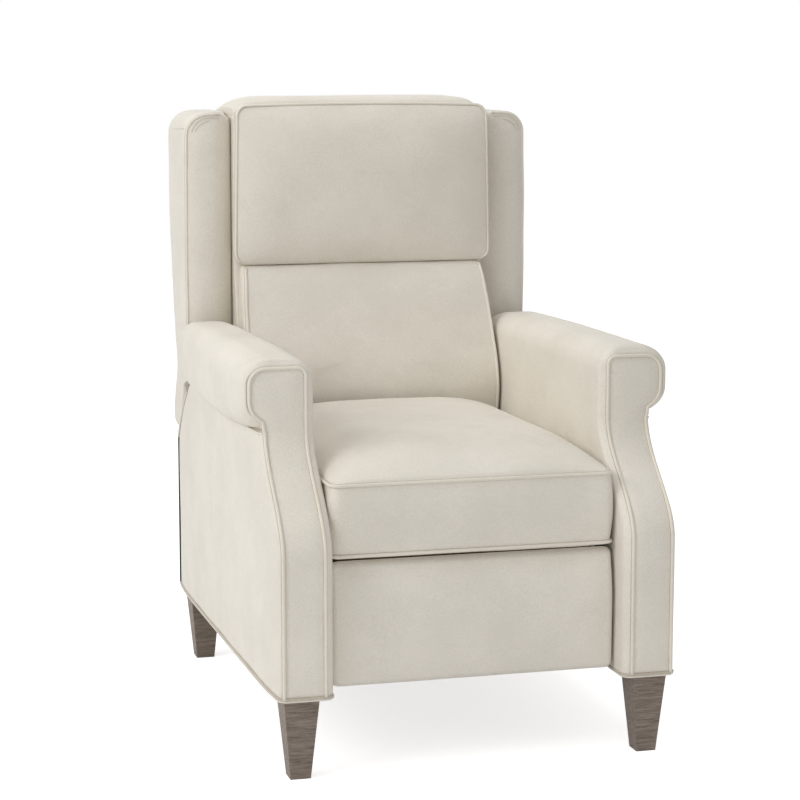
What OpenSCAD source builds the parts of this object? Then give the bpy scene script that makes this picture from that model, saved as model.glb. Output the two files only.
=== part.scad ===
// Push-back wing recliner with rolled arms, high tapered legs and a lift-out footrest.
// Side view lengths run from the plane of the arm fronts, y = 0, towards the back.

/* [Seat] */
// Width of the seat cushion between the arms
cushion_w = 486; // [440:1:540]
// Length of the seat cushion from front to back
cushion_len = 607; // [580:1:608]
// Setback of the cushion behind the arm fronts
cushion_setback = 43; // [38:1:60]
// Height of the seam under the crown above the deck
boxing_h = 123; // [100:1:150]
// Rise of the cushion's crown above its seam
cushion_crown = 55; // [20:1:60]
// Radius of the cushion's front corners
cushion_corner = 16; // [15:1:70]
// Height of the seat deck above the floor
deck_z = 355; // [353:1:365]

/* [Arms] */
// Thickness of an arm from its inner face to its outside panel
arm_t = 86; // [76:1:110]
// Clearance between the cushion and each arm
arm_clear = 5; // [4:0.5:10]
// Length of an arm from its front to its rear edge
arm_len = 892; // [880:1:900]
// Height of the rolled arm's top
arm_top = 680; // [660:1:700]
// How far the roll hangs over the outside panel
roll_over = 32; // [20:1:40]
// Radius of the roll's underside
roll_r = 44; // [40:1:50]
// Radius of the roll's outer top edge
roll_top_r = 50; // [40:1:60]
// How much the roll narrows towards its rear end
roll_taper = 14; // [0:1:18]
// How much lower the arm's top is at its rear end
arm_fall = 9; // [0:1:14]
// Height of the notch under the roll
notch_z = 567; // [558:1:575]
// Height where the front starts to sweep back
sweep_z = 370; // [320:1:400]
// Height where the front has swept back fully
sweep_top = 560; // [520:1:600]
// How far the front sweeps back
sweep_d = 131; // [90:1:150]
// Outward swell of the outside panel at its middle
panel_swell = 12; // [4:1:16]
// Thickness of the padded front panel
front_panel_t = 12; // [8:1:18]
// Thickness of the outside panel
side_panel_t = 6; // [4:1:10]
// Height of the upright part of the arm's rear edge
rear_edge_z = 432; // [420:1:440]
// Height where the slanted rear edge meets the roll
slant_top = 552; // [540:1:556]
// Distance of that point from the arm fronts
slant_y = 745; // [730:1:760]
// Distance of the roll's rear end from the arm fronts
roll_end = 790; // [775:1:793]
// Thickness of the dust covers on the arms' rear faces
cover_t = 6; // [2:1:8]

/* [Legs] */
// Height of a leg
leg_h = 140; // [110:1:142]
// Side of a leg at its top
leg_top = 60; // [50:1:64]
// Side of a leg at its foot
leg_foot = 34; // [25:1:45]
// Distance of the front legs' centre line from the arm fronts
leg_front = 42; // [36:1:60]
// Distance of the rear legs' centre line from the arms' rear edges
leg_inset = 32; // [31:1:72]
// Radius of a hanger bolt
bolt_r = 4; // [3:0.5:5]

/* [Back] */
// Height of the head pillow's top seam
pillow_top = 1066; // [1045:1:1075]
// Height of the head pillow's lower seam
pillow_low = 772; // [770:1:790]
// Distance of the pillow's front seam from the arm fronts
pillow_y = 764; // [758:1:770]
// Depth of the pillow's side boxing
pillow_depth = 36; // [30:1:45]
// Rise of the pillow's crown in front of its seam
pillow_crown = 14; // [8:1:25]
// Outer half width over the wings
wing_x = 330; // [320:1:333]
// Distance of the wings' front faces from the arm fronts
wing_y = 801; // [800:1:806]
// Height of the wings' tops at their outer corners
wing_top = 1057; // [1000:1:1062]
// Radius of a wing's outer top corner
wing_round = 50; // [20:1:60]
// Thickness of the outside back
shell_t = 15; // [10:1:20]
// Distance of the outside back from the arm fronts at its top
rear_top_y = 1035; // [1030:1:1050]
// Height of the back's lower edge
back_low = 434; // [430:1:445]
// Thickness of the lumbar pad
lumbar_t = 73; // [60:1:74]
// Fullness of the lumbar pad at its middle, in percent
lumbar_crown = 4; // [0:1:8]
// Height of the highest point of the back
crest_z = 1088; // [1080:1:1095]
// Height of the crest roll above the back frame
crest_h = 54; // [48:1:58]

/* [Footrest] */
// Height of the footrest panel
foot_h = 207; // [180:1:207]
// Gap between the footrest and the seat cushion
foot_gap = 5; // [5:1:10]
// Distance of the footrest's face from the arm fronts
foot_y = 36; // [34:1:40]
// Thickness of the footrest's padding
foot_pad_t = 31; // [25:1:31]
// Thickness of the footrest board
board_t = 15; // [12:1:15]

/* [Mechanism] */
// Tilt of the back at full recline, in degrees
recline = 28; // [20:1:28]
// Length of a swing link between its pivots
swing_len = 90; // [85:1:90]
// Lean of the swing links to the back at rest, in degrees
swing_lean = 12; // [8:1:12]
// Swing of the links at full recline, in degrees
swing_turn = 20; // [14:1:20]
// Thickness of the link steel
steel = 3; // [2.5:0.1:3]
// Side clearance between neighbouring links
side_gap = 1.5; // [1.2:0.1:1.5]
// Half width of a link bar
bar_r = 10; // [8:0.5:10]
// Radius of the pivot studs
stud_r = 4.5; // [3.5:0.1:5]
// Radial running clearance at each pivot
run_gap = 0.05; // [0.03:0.01:0.09]
// Radius of the torque tube
tube_r = 9; // [8:0.5:10]
// Length of the lift links
lift_len = 149; // [147:0.5:150]
// Length of the reach links
reach_len = 125; // [124:0.5:127]

/* [Trim] */
// Radius of the welt cords
welt_r = 3.5; // [2.5:0.5:4]

/* [Hidden] */
$fn = 40;

leather = [0.87, 0.85, 0.80];
lining = [0.10, 0.10, 0.10];
timber = [0.72, 0.58, 0.42];
leg_wood = [0.45, 0.40, 0.36];
metal = [0.35, 0.36, 0.38];

half_w = cushion_w / 2;
arm_in = half_w + arm_clear;
arm_out = arm_in + arm_t;
roll_out = arm_out + roll_over;
base_z = leg_h;
eps = 1;
welt_out = 0.5;
front_most = -welt_r * cos(30) - welt_out;
origin_y = -(front_most + rear_top_y) / 2;

// Arm layout.
roll_corner = 28;
panel_edge = 15;
panel_rim = 9;
panel_drop = 18;
panel_corner = 14;
curve_n = 10;
frame_t = 36;
pad_inset = 30;
frame_rear = 14;
notch_x = arm_out + 4;
notch_drop = 10;
roll_turn = acos((notch_x - roll_out + roll_r) / roll_r);
roll_mid = notch_z + roll_r * sin(roll_turn);
arm_core_out = arm_out - side_panel_t;
panel_wall = 1;
leg_x = arm_out - 4 - leg_top / 2;
leg_rear = arm_len - leg_inset;
frame_in = leg_x - frame_t / 2;
plate_side = leg_top - 6;
plate_t = 3;
bolt_low = 35;
bolt_high = 25;
rail_t = 22;
rail_lift = 10;
front_rail_y = 138;
front_rail_h = 62;
rear_rail_y = leg_rear - rail_t;
rear_rail_h = 80;
plate_end = rear_rail_y - 38;
dust_t = 3;
dust_top = 275;
cover_in = 2;

// Lanes of the mechanism, as distances from the middle plane.
plate_x = arm_in - steel;
seat_plate_x = plate_x - 3 * steel;
swing_x = seat_plate_x + steel + side_gap;
steering_x = seat_plate_x - side_gap - steel;
lift_x = steering_x - side_gap - steel;
reach_x = lift_x - side_gap - steel;
back_bracket_x = seat_plate_x - 0.5 - steel;
stud_over = 0.5;
neck = 0.6;

// Mechanism pivots, each as [y, z].
cushion_rear = cushion_setback + cushion_len;
hinge = [cushion_rear + 50, deck_z - 15];
hinge_r = 6;
hinge_rim = 16;
front_low = [250, 205];
rear_low = [600, 205];
swing_top = [swing_len * sin(swing_lean), swing_len * cos(swing_lean)];
front_high = front_low + swing_top;
rear_high = rear_low + swing_top;
swing_travel = swing_len * (sin(swing_lean) - sin(swing_lean - swing_turn));

foot_top = deck_z - foot_gap;
foot_low = foot_top - foot_h;
board_front = foot_y + foot_pad_t;
board_back = board_front + board_t;
board_drop = 26;
board_lift = 4;
lift_pivot = [133, 301];
foot_pivot = [board_back + 17, 282];
reach_span = foot_pivot - lift_pivot;
span = norm(reach_span);
fold = acos((lift_len ^ 2 + span ^ 2 - reach_len ^ 2) / (2 * lift_len * span));
lift_dir = atan2(reach_span[1], reach_span[0]) + fold;
elbow = lift_pivot + lift_len * [cos(lift_dir), sin(lift_dir)];
lift_turn = 91;
steer_r = 7;
steer_stud = 3.5;
steer_clear = 0.95;
steer_low = elbow + [2.69, 21.84];
steer_high = foot_pivot + [3.82, 21.67];
crank_r = swing_travel / (2 * sin(lift_turn / 2));
crank_pin = lift_pivot + crank_r * [-sin(lift_turn / 2), cos(lift_turn / 2)];
crank_rim = 11;
journal_r = 7;
slot_clear = 1.4;
slot_rise = crank_r * (1 - cos(lift_turn / 2)) + 1.6;

deck_t = 3;
deck_front = 100;
deck_rear = cushion_rear - 6;
rail_low = deck_z - deck_t - 34;
rail_top = deck_z - deck_t;
spring_t = 3.5;
spring_w = 18;
spring_wire = 3.5;

pillow_back = pillow_y + pillow_depth;
pillow_h = pillow_top - pillow_low;
side_frame_t = 20.5;
side_frame_x = back_bracket_x - side_frame_t;
wing_in = arm_in - 4;
wing_foot = 556;
crest_foot = crest_z - crest_h;
crest_x = half_w;
lumbar_x = half_w - 3;

// Corner points of an arc in a plane, from angle a0 to angle a1.
function arc(c, r, a0, a1, n = 6) =
  [for (i = [0:n]) [c[0] + r * cos(a0 + (a1 - a0) * i / n), c[1] + r * sin(a0 + (a1 - a0) * i / n)]];

// Points on the straight line from p to q, without q.
function steps(p, q, n) = [for (i = [0:n - 1]) p + (q - p) * i / n];

function front_y(z) =
  z <= sweep_z ? 0 : z >= sweep_top ? sweep_d
  : sweep_d * (1 - cos(180 * (z - sweep_z) / (sweep_top - sweep_z))) / 2;
front_curve = [
  for (i = [0:curve_n]) let (z = sweep_z + (sweep_top - sweep_z) * i / curve_n) [front_y(z), z]];

arm_section = concat(
  [[arm_in, base_z]],
  arc([arm_in + roll_corner, arm_top - roll_corner], roll_corner, 180, 90),
  arc([roll_out - roll_top_r, arm_top - roll_top_r], roll_top_r, 90, 0, 8),
  arc([roll_out - roll_r, roll_mid], roll_r, 0, -roll_turn, 8),
  [[arm_core_out, notch_z - notch_drop], [arm_core_out, base_z]]);

// Outline of the front panel from its inner foot over the roll to its outer foot.
panel_path = concat(
  [[arm_in + panel_edge, base_z]],
  arc([arm_in + panel_edge + panel_corner, arm_top - panel_drop - panel_corner], panel_corner, 180, 90, 4),
  arc([roll_out - panel_rim - 40, arm_top - panel_drop - 40], 40, 90, 0, 6),
  arc([roll_out - roll_r, roll_mid], roll_r - panel_rim, 0, -roll_turn, 6),
  [[arm_core_out - panel_wall, notch_z - notch_drop + 0.5], [arm_core_out - panel_wall, base_z]]);

arm_profile = concat(
  [[0, base_z]], front_curve,
  [[sweep_d, arm_top + eps], [330, arm_top], [580, arm_top - 0.4 * arm_fall]],
  arc([roll_end - 40, arm_top - arm_fall - 40], 40, 90, 0, 6),
  [[roll_end, slant_top + 50], [roll_end - 12, slant_top + 24], [slant_y, slant_top],
   [arm_len, rear_edge_z], [arm_len, base_z]]);

// Outline of the roll from above, which narrows towards the rear.
arm_plan = concat(
  [[arm_in - 5, -5], [roll_out + 5, -5]],
  [for (p = [[300, 0], [470, 0.22], [640, 0.6], [roll_end, 1], [arm_len + 5, 1]])
    [roll_out - roll_taper * p[1], p[0]]],
  [[arm_in - 5, arm_len + 5]]);

frame_profile = [
  [leg_front - 12, base_z], [leg_front - 12, sweep_z - 20], [sweep_d + pad_inset, sweep_top],
  [sweep_d + pad_inset, arm_top - 50], [slant_y - pad_inset, arm_top - 50],
  [slant_y - pad_inset, slant_top - 20], [arm_len - pad_inset, rear_edge_z - 20],
  [arm_len - frame_rear, rear_edge_z - 60], [arm_len - frame_rear, base_z]];

front_strip = concat(
  [[-5, base_z - 5]],
  [for (p = front_curve) [p[0] - 5, p[1]]],
  [[sweep_d - 5, arm_top + 5], [sweep_d + front_panel_t, arm_top + 5]],
  [for (i = [curve_n:-1:0]) front_curve[i] + [front_panel_t, 0]],
  [[front_panel_t, base_z - 5]]);

front_skin = concat(
  [[0, base_z]], front_curve,
  [[sweep_d, arm_top], [sweep_d + front_panel_t, arm_top]],
  [for (i = [curve_n:-1:0]) front_curve[i] + [front_panel_t, 0]],
  [[front_panel_t, base_z]]);

// Back outlines, side view. The outside back's points count from its rearmost plane and its foot.
shell_shape = [
  [-39, 0], [-13, 10], [-2, 34], [-23, 72], [-51, 112], [-65, 152], [-60, 210], [-43, 300],
  [-21, 410], [-7, 510], [0, 574]];
shell_points = [for (p = shell_shape) [rear_top_y, back_low] + p];
shell_foot = shell_points[0][0] - shell_t;
shell_head = rear_top_y - 4;
shell_outer = concat(shell_points, [[shell_head, crest_foot]]);
shell_inner = [for (i = [len(shell_outer) - 1:-1:0]) shell_outer[i] - [shell_t, 0]];
function shell_below(z) = [for (i = [1:len(shell_points) - 1])
  if (shell_points[i][1] < z) shell_points[i] - [shell_t, 0]];

lumbar_foot = [729, 414];
waist = [735, 500];
lumbar_head = [pillow_back, pillow_low - 7];
function frame_y(z) =
  z < waist[1] ? 728 + (waist[0] - 728) * (z - 405) / (waist[1] - 405)
  : waist[0] + (lumbar_head[0] - waist[0]) * (z - waist[1]) / (lumbar_head[1] - waist[1]);

back_side_profile = concat(
  [[shell_foot, back_low + 2]], shell_below(crest_foot - 10),
  [[shell_head - shell_t, crest_foot], [pillow_back, crest_foot], lumbar_head, waist, [728, 405],
   [790, 405], [rear_top_y - 130, back_low + 2]]);

wing_profile = concat(
  [[wing_y + 12, wing_top + 14], [wing_y, wing_top], [wing_y, wing_foot]],
  [for (p = [[-155, 536], [-138, 500], [-120, 465], [-109, back_low + 3]]) [rear_top_y, 0] + p],
  [[shell_foot, back_low + 2]], shell_below(wing_top - 16),
  wing_top - 6 > crest_foot ? [[shell_head - shell_t, crest_foot]] : [],
  [[shell_head - shell_t, wing_top - 6], [rear_top_y - 35, wing_top + 10]]);

wing_outline = concat(
  [[wing_in, back_low - eps], [wing_x, back_low - eps]],
  arc([wing_x - wing_round, wing_top - wing_round], wing_round, 0, 90, 7),
  [[wing_in + 12, wing_top + 12], [wing_in, wing_top + 14]]);

crest_side = concat(
  [[pillow_back, crest_foot], [shell_head, crest_foot], [rear_top_y - 9, crest_foot + 10],
   [rear_top_y - 35, crest_z - 22], [rear_top_y - 85, crest_z - 7]],
  [for (p = [[90, 0], [35, 0], [12, -4], [2, -12], [0, -24]]) [pillow_back, crest_z] + p]);
crest_front = [
  [-crest_x, crest_foot], [crest_x, crest_foot], [crest_x, crest_z - 34], [crest_x - 14, crest_z - 21],
  [crest_x - 38, crest_z - 10], [crest_x - 63, crest_z - 4], [crest_x - 130, crest_z],
  [130 - crest_x, crest_z], [63 - crest_x, crest_z - 4], [38 - crest_x, crest_z - 10],
  [14 - crest_x, crest_z - 21], [-crest_x, crest_z - 34]];

// Front of the lumbar pad as a part of its thickness at a height, from foot to top.
lumbar_front = [
  [440, 1.0], [500, 1.05], [545, 1.01], [592, 0.99], [640, 0.97], [700, 0.97], [738, 0.94]];

module place() translate([0, origin_y, 0]) children();
module pair() {
  children();
  mirror([1, 0, 0]) children();
}
module left_side() mirror([1, 0, 0]) children();

// Extrudes a side view outline, given as [y, z], across the chair.
module across(x0, x1, pts)
  translate([x0, 0, 0]) rotate([90, 0, 90]) linear_extrude(x1 - x0) polygon(pts);
// Extrudes a front view outline, given as [x, z], from front to back.
module deep(y0, y1, pts)
  translate([0, y1, 0]) rotate([90, 0, 0]) linear_extrude(y1 - y0) polygon(pts);
module disc(p, r, x, t) translate([x, p[0], p[1]]) rotate([0, 90, 0]) cylinder(r = r, h = t);
// Flat link of two round eyes and a neck, with one bore at each end where its radius isn't 0.
module link(p, q, r, x, t, bore_p = 0, bore_q = 0) {
  n = (r - neck) * [p[1] - q[1], q[0] - p[0]] / norm(q - p);
  translate([x, 0, 0]) rotate([90, 0, 90]) linear_extrude(t) difference() {
    union() {
      translate(p) circle(r = r);
      translate(q) circle(r = r);
      polygon([p - n, q - n, q + n, p + n]);
    }
    if (bore_p > 0) translate(p) circle(r = bore_p);
    if (bore_q > 0) translate(q) circle(r = bore_q);
  }
}

// Closed skin over rings of points that run anticlockwise round their axis.
module loft(rings) {
  n = len(rings[0]);
  m = len(rings);
  polyhedron(
    points = [for (r = rings) for (p = r) p],
    faces = concat(
      [for (i = [0:m - 2]) for (j = [0:n - 1])
        [i * n + j, (i + 1) * n + (j + 1) % n, i * n + (j + 1) % n]],
      [for (i = [0:m - 2]) for (j = [0:n - 1])
        [i * n + j, (i + 1) * n + j, (i + 1) * n + (j + 1) % n]],
      [for (j = [1:n - 2]) [0, j, j + 1]],
      [for (j = [1:n - 2]) [(m - 1) * n, (m - 1) * n + j + 1, (m - 1) * n + j]]));
}

// Round cord of six sides along a path of points; closed paths join their ends.
function unit(v) = v / norm(v);
function path_dir(p, i, closed) =
  let (n = len(p), a = closed ? p[(i + n - 1) % n] : p[max(i - 1, 0)],
    b = closed ? p[(i + 1) % n] : p[min(i + 1, n - 1)]) unit(b - a);
function cord_ring(c, d, r, up) =
  let (s = unit(cross(d, up)), t = cross(s, d))
  [for (k = [0:5]) c + r * (cos(60 * k) * s - sin(60 * k) * t)];
module cord(p, r, up) {
  loft([for (i = [0:len(p) - 1]) cord_ring(p[i], path_dir(p, i, false), r, up)]);
}
module cord_loop(p, r, up) {
  n = len(p);
  polyhedron(
    points = [for (i = [0:n - 1]) for (q = cord_ring(p[i], path_dir(p, i, true), r, up)) q],
    faces = concat(
      [for (i = [0:n - 1]) for (j = [0:5])
        [i * 6 + j, ((i + 1) % n) * 6 + (j + 1) % 6, i * 6 + (j + 1) % 6]],
      [for (i = [0:n - 1]) for (j = [0:5])
        [i * 6 + j, ((i + 1) % n) * 6 + j, ((i + 1) % n) * 6 + (j + 1) % 6]]));
}

// Outline of a cushion about its middle, anticlockwise from above.
function pad_outline(a, b, front_r, rear_r, k = 4) = concat(
  arc([-a + front_r, -b + front_r], front_r, 225, 270, 3),
  [for (i = [1:k]) [-a + front_r + (2 * a - 2 * front_r) * i / (k + 1), -b]],
  arc([a - front_r, -b + front_r], front_r, 270, 360, 5),
  [for (i = [1:k]) [a, -b + front_r + (2 * b - front_r - rear_r) * i / (k + 1)]],
  arc([a - rear_r, b - rear_r], rear_r, 0, 90, 4),
  [for (i = [1:k]) [a - rear_r - (2 * a - 2 * rear_r) * i / (k + 1), b]],
  arc([-a + rear_r, b - rear_r], rear_r, 90, 180, 4),
  [for (i = [1:k]) [-a, b - rear_r - (2 * b - front_r - rear_r) * i / (k + 1)]],
  [for (t = [180, 195, 210]) [-a + front_r + front_r * cos(t), -b + front_r + front_r * sin(t)]]);
function pad_ring(o, a, b, inset, z) = [for (p = o) [p[0] * (1 - inset / a), p[1] * (1 - inset / b), z]];

// Boxed cushion: flat underside, drawn-in sides between two seams and a crown.
module boxed_pad(o, a, b, seam, boxing, crown, draw) {
  loft(concat(
    [pad_ring(o, a, b, seam, 0), pad_ring(o, a, b, 0, seam),
     pad_ring(o, a, b, draw * 0.7, seam + (boxing - seam) * 0.2),
     pad_ring(o, a, b, draw, seam + (boxing - seam) * 0.5),
     pad_ring(o, a, b, draw * 0.7, seam + (boxing - seam) * 0.8),
     pad_ring(o, a, b, 0, boxing)],
    [for (s = [0.975, 0.93, 0.86, 0.76, 0.62, 0.44, 0.24, 0.08])
      [for (p = o) [p[0] * s, p[1] * s, boxing + crown * (1 - pow(s, 2.6))]]]));
}

// Arms.
module rail_cuts() {
  translate([0, front_rail_y, base_z + rail_lift]) cube([frame_in, rail_t, front_rail_h]);
  translate([0, rear_rail_y, base_z + rail_lift]) cube([frame_in, rail_t, rear_rail_h]);
}
module plate_block(y, low) {
  translate([leg_x - plate_side / 2, y - plate_side / 2, base_z - low])
    cube([plate_side, plate_side, plate_t + low]);
}
module bolt_at(y, z0, z1) translate([leg_x, y, z0]) cylinder(r = bolt_r, h = z1 - z0);
screw_spots = [[200, 205], [420, 205], [plate_end - 100, 205], [plate_end - 20, 205]];
screw_r = 3;
screw_end = frame_in + 12;
module screw_holes(x0, x1) {
  for (p = screw_spots) disc(p, screw_r, x0, x1 - x0);
}

module arm_pad() {
  difference() {
    intersection() {
      deep(-5, arm_len + 5, arm_section);
      across(arm_in - 5, roll_out + 5, arm_profile);
      translate([0, 0, base_z - 5]) linear_extrude(arm_top - base_z + 10) polygon(arm_plan);
    }
    across(frame_in, frame_in + frame_t, frame_profile);
    intersection() {
      deep(-10, sweep_d + 30, concat([[arm_in + panel_edge, base_z - eps]], panel_path,
        [[arm_core_out - panel_wall, base_z - eps]]));
      across(arm_in, roll_out + 5, front_strip);
    }
    rail_cuts();
    plate_block(leg_front, eps);
    plate_block(leg_rear, eps);
    screw_holes(arm_in - eps, frame_in + eps);
  }
}
module arm_frame() {
  difference() {
    across(frame_in, frame_in + frame_t, frame_profile);
    for (y = [leg_front, leg_rear]) {
      plate_block(y, eps);
      bolt_at(y, base_z, base_z + bolt_high);
    }
    screw_holes(frame_in - eps, screw_end);
  }
}
module front_panel() {
  difference() {
    intersection() {
      deep(-5, sweep_d + 30, panel_path);
      across(arm_in, roll_out + 5, front_skin);
    }
    plate_block(leg_front, eps);
  }
}
module outside_panel() {
  intersection() {
    translate([0, 0, base_z]) linear_extrude(notch_z - notch_drop - base_z) polygon(concat(
      [[arm_core_out, 0]],
      [for (i = [0:10]) [arm_out + panel_swell * sin(18 * i), arm_len * i / 10]],
      [[arm_core_out, arm_len]]));
    across(arm_core_out - 5, arm_out + panel_swell + 5, arm_profile);
  }
}
function swell_x(y) = arm_out + panel_swell * sin(180 * y / arm_len);
module arm_welts() {
  cord([for (p = concat(steps(panel_path[0], [panel_path[0][0], sweep_z - 20], 2),
      steps([panel_path[0][0], sweep_z - 20], panel_path[1], 10),
      [for (i = [1:len(panel_path) - 3]) panel_path[i]],
      steps(panel_path[len(panel_path) - 2], [arm_core_out - panel_wall, sweep_z - 20], 8),
      steps([arm_core_out - panel_wall, sweep_z - 20], [arm_core_out - panel_wall, base_z], 2),
      [[arm_core_out - panel_wall, base_z]]))
    [p[0], front_y(p[1]) - welt_out, p[1] == base_z ? base_z + 0.5 : p[1]]], welt_r, [0, 1, 0.01]);
  cord([for (i = [0:8]) let (y = 8 + (arm_len - 16) * i / 8) [swell_x(y), y, base_z + welt_r]],
    welt_r * 0.7, [0, 0, 1]);
  cord([for (i = [0:5]) let (k = i / 5, y = arm_len - (arm_len - slant_y - 4) * k)
      [swell_x(y), y - 3, rear_edge_z + (slant_top - rear_edge_z - 4) * k]],
    welt_r * 0.7, [1, 0, 0]);
}
module left_arm_pad() color(leather) place() left_side() arm_pad();
module right_arm_pad() color(leather) place() arm_pad();
module left_arm_frame() color(timber) place() left_side() arm_frame();
module right_arm_frame() color(timber) place() arm_frame();
module left_front_panel() color(leather) place() left_side() front_panel();
module right_front_panel() color(leather) place() front_panel();
module left_outside_panel() color(leather) place() left_side() outside_panel();
module right_outside_panel() color(leather) place() outside_panel();
module left_arm_welts() color(leather) place() left_side() arm_welts();
module right_arm_welts() color(leather) place() arm_welts();

// Base.
module front_rail() color(timber) place()
  translate([-frame_in, front_rail_y, base_z + rail_lift]) cube([2 * frame_in, rail_t, front_rail_h]);
module rear_rail() color(timber) place()
  translate([-frame_in, rear_rail_y, base_z + rail_lift]) cube([2 * frame_in, rail_t, rear_rail_h]);
module rear_dust_panel() color(lining) place()
  translate([-arm_in, leg_rear, base_z + 5]) cube([2 * arm_in, dust_t, dust_top - base_z - 5]);
module rear_dust_covers() color(lining) place() pair()
  translate([arm_in + cover_in, arm_len, base_z + 1])
    cube([arm_t - cover_in - 2, cover_t, rear_edge_z - base_z - 3]);

module leg(y) {
  a = leg_top / 2;
  b = leg_foot / 2;
  difference() {
    intersection() {
      deep(y - a, y + a, [[leg_x - b, 0], [leg_x + b, 0], [leg_x + a, leg_h], [leg_x - a, leg_h]]);
      across(leg_x - a, leg_x + a, [[y - b, 0], [y + b, 0], [y + a, leg_h], [y - a, leg_h]]);
    }
    bolt_at(y, base_z - bolt_low, base_z + eps);
  }
}
module front_left_leg() color(leg_wood) place() left_side() leg(leg_front);
module front_right_leg() color(leg_wood) place() leg(leg_front);
module rear_left_leg() color(leg_wood) place() left_side() leg(leg_rear);
module rear_right_leg() color(leg_wood) place() leg(leg_rear);
module leg_plates() color(metal) place() pair()
  for (y = [leg_front, leg_rear]) difference() {
    plate_block(y, 0);
    bolt_at(y, base_z - eps, base_z + plate_t + eps);
  }
module leg_bolts() color(metal) place() pair()
  for (y = [leg_front, leg_rear]) bolt_at(y, base_z - bolt_low, base_z + bolt_high);

// Side plates with the swing link studs and the guide slot of the crank pins.
module base_plates() color(metal) place() pair() {
  difference() {
    across(plate_x, arm_in, [
      [175, 185], [158, 232], [crank_pin[0] - 20, 290], [crank_pin[0] - 20, crank_pin[1] + 26],
      [crank_pin[0] + 20, crank_pin[1] + 26], [crank_pin[0] + 22, 300], [215, 236], [300, 230],
      [plate_end, 230], [plate_end, 185]]);
    screw_holes(plate_x - eps, arm_in + eps);
    link(crank_pin, crank_pin + [0, slot_rise], stud_r + slot_clear, plate_x - eps, steel + 2 * eps);
  }
  for (p = [front_low, rear_low]) disc(p, stud_r, swing_x - stud_over, plate_x - swing_x + stud_over);
}
module plate_screws() color(metal) place() pair() for (p = screw_spots) {
  disc(p, screw_r, plate_x, screw_end - plate_x);
  disc(p, 2 * screw_r, plate_x - 1.5, 1.5);
}

// Swing links.
module swing_link(low, high) link(low, high, bar_r, swing_x, steel, stud_r + run_gap, stud_r + run_gap);
module front_swing_links() color(metal) place() pair() swing_link(front_low, front_high);
module rear_swing_links() color(metal) place() pair() swing_link(rear_low, rear_high);

// Seat.
module seat_side_rails() color(timber) place() pair()
  translate([0, 0, rail_low]) linear_extrude(rail_top - rail_low) polygon([
    [190, deck_front], [220, deck_front], [220, 190], [seat_plate_x, 190],
    [seat_plate_x, deck_rear], [205, deck_rear], [205, 200], [190, 200]]);
module seat_cross_rails() color(timber) place() {
  translate([-190, deck_front, rail_low]) cube([380, 45, rail_top - spring_t - rail_low]);
  translate([-205, deck_rear - 45, rail_low]) cube([410, 45, rail_top - spring_t - rail_low]);
}
spring_n = 14;
spring_span = deck_rear - deck_front - 20;
function wave(side) = [for (i = [0:spring_n]) for (k = [0, 1])
  [(i % 2 == 0 ? -1 : 1) * (k == 0 ? -1 : 1) * spring_w / 2 + side * spring_wire / 2,
   deck_front + 10 + spring_span * (i + (k == 0 ? 0.1 : 0.3)) / (spring_n + 1)]];
module seat_springs() color(metal) place()
  for (x = [-144, -72, 0, 72, 144]) translate([x, 0, rail_top - spring_t])
    linear_extrude(spring_t) polygon(concat(wave(-1), [for (i = [len(wave(1)) - 1:-1:0]) wave(1)[i]]));
module seat_deck() color(lining) place()
  translate([-seat_plate_x, deck_front, deck_z - deck_t])
    cube([2 * seat_plate_x, deck_rear - deck_front, deck_t]);
module seat_plates() color(metal) place() pair() {
  difference() {
    union() {
      across(seat_plate_x, seat_plate_x + steel, [
        [118, 292], [118, 314], [150, 345], [640, 348], [690, 354], [712, 329],
        [660, 282], [560, 276], [230, 276], [140, 286]]);
      disc(hinge, hinge_rim, seat_plate_x, steel);
      disc(lift_pivot, 16, seat_plate_x, steel);
    }
    disc(lift_pivot, journal_r + run_gap, seat_plate_x - eps, steel + 2 * eps);
  }
  for (p = [front_high, rear_high])
    disc(p, stud_r, seat_plate_x + steel, side_gap + steel + stud_over);
  disc(hinge, hinge_r, back_bracket_x - stud_over, seat_plate_x - back_bracket_x + stud_over);
}
cushion_a = half_w;
cushion_b = cushion_len / 2;
cushion_seam = 6;
cushion_draw = 4;
cushion_shape = pad_outline(cushion_a, cushion_b, cushion_corner, 14, 5);
module at_cushion() translate([0, cushion_setback + cushion_b, deck_z]) children();
module seat_cushion() color(leather) place() at_cushion()
  boxed_pad(cushion_shape, cushion_a, cushion_b, cushion_seam, boxing_h, cushion_crown, cushion_draw);
module seat_welts() color(leather) place() at_cushion() {
  cord_loop(pad_ring(cushion_shape, cushion_a, cushion_b, 0, cushion_seam), welt_r * 0.9, [0, 0, 1]);
  cord_loop(pad_ring(cushion_shape, cushion_a, cushion_b, 0, boxing_h), welt_r * 0.9, [0, 0, 1]);
}

// Footrest mechanism.
module torque_tube() color(metal) place() {
  disc(lift_pivot, tube_r, -lift_x, 2 * lift_x);
  pair() disc(lift_pivot, journal_r, lift_x, swing_x + steel - lift_x);
}
module drive_cranks() color(metal) place() pair() {
  link(lift_pivot, crank_pin, crank_rim, swing_x, steel, journal_r, 0);
  disc(crank_pin, stud_r, swing_x + steel, arm_in - 0.5 - swing_x - steel);
}
module lift_links() color(metal) place() pair() {
  link(lift_pivot, elbow, bar_r, lift_x, steel, journal_r, 0);
  disc(elbow, stud_r, reach_x - stud_over, lift_x - reach_x + stud_over);
  disc(steer_low, steer_stud, lift_x + steel, side_gap + steel + stud_over);
}
module reach_links() color(metal) place() pair()
  link(elbow, foot_pivot, bar_r, reach_x, steel, stud_r + run_gap, stud_r + run_gap);
module steering_links() color(metal) place() pair()
  link(steer_low, steer_high, steer_r, steering_x, steel, steer_stud + run_gap, steer_stud + steer_clear);
bracket_low = foot_pivot[1] - 20;
bracket_top = foot_pivot[1] + 28;
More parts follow.
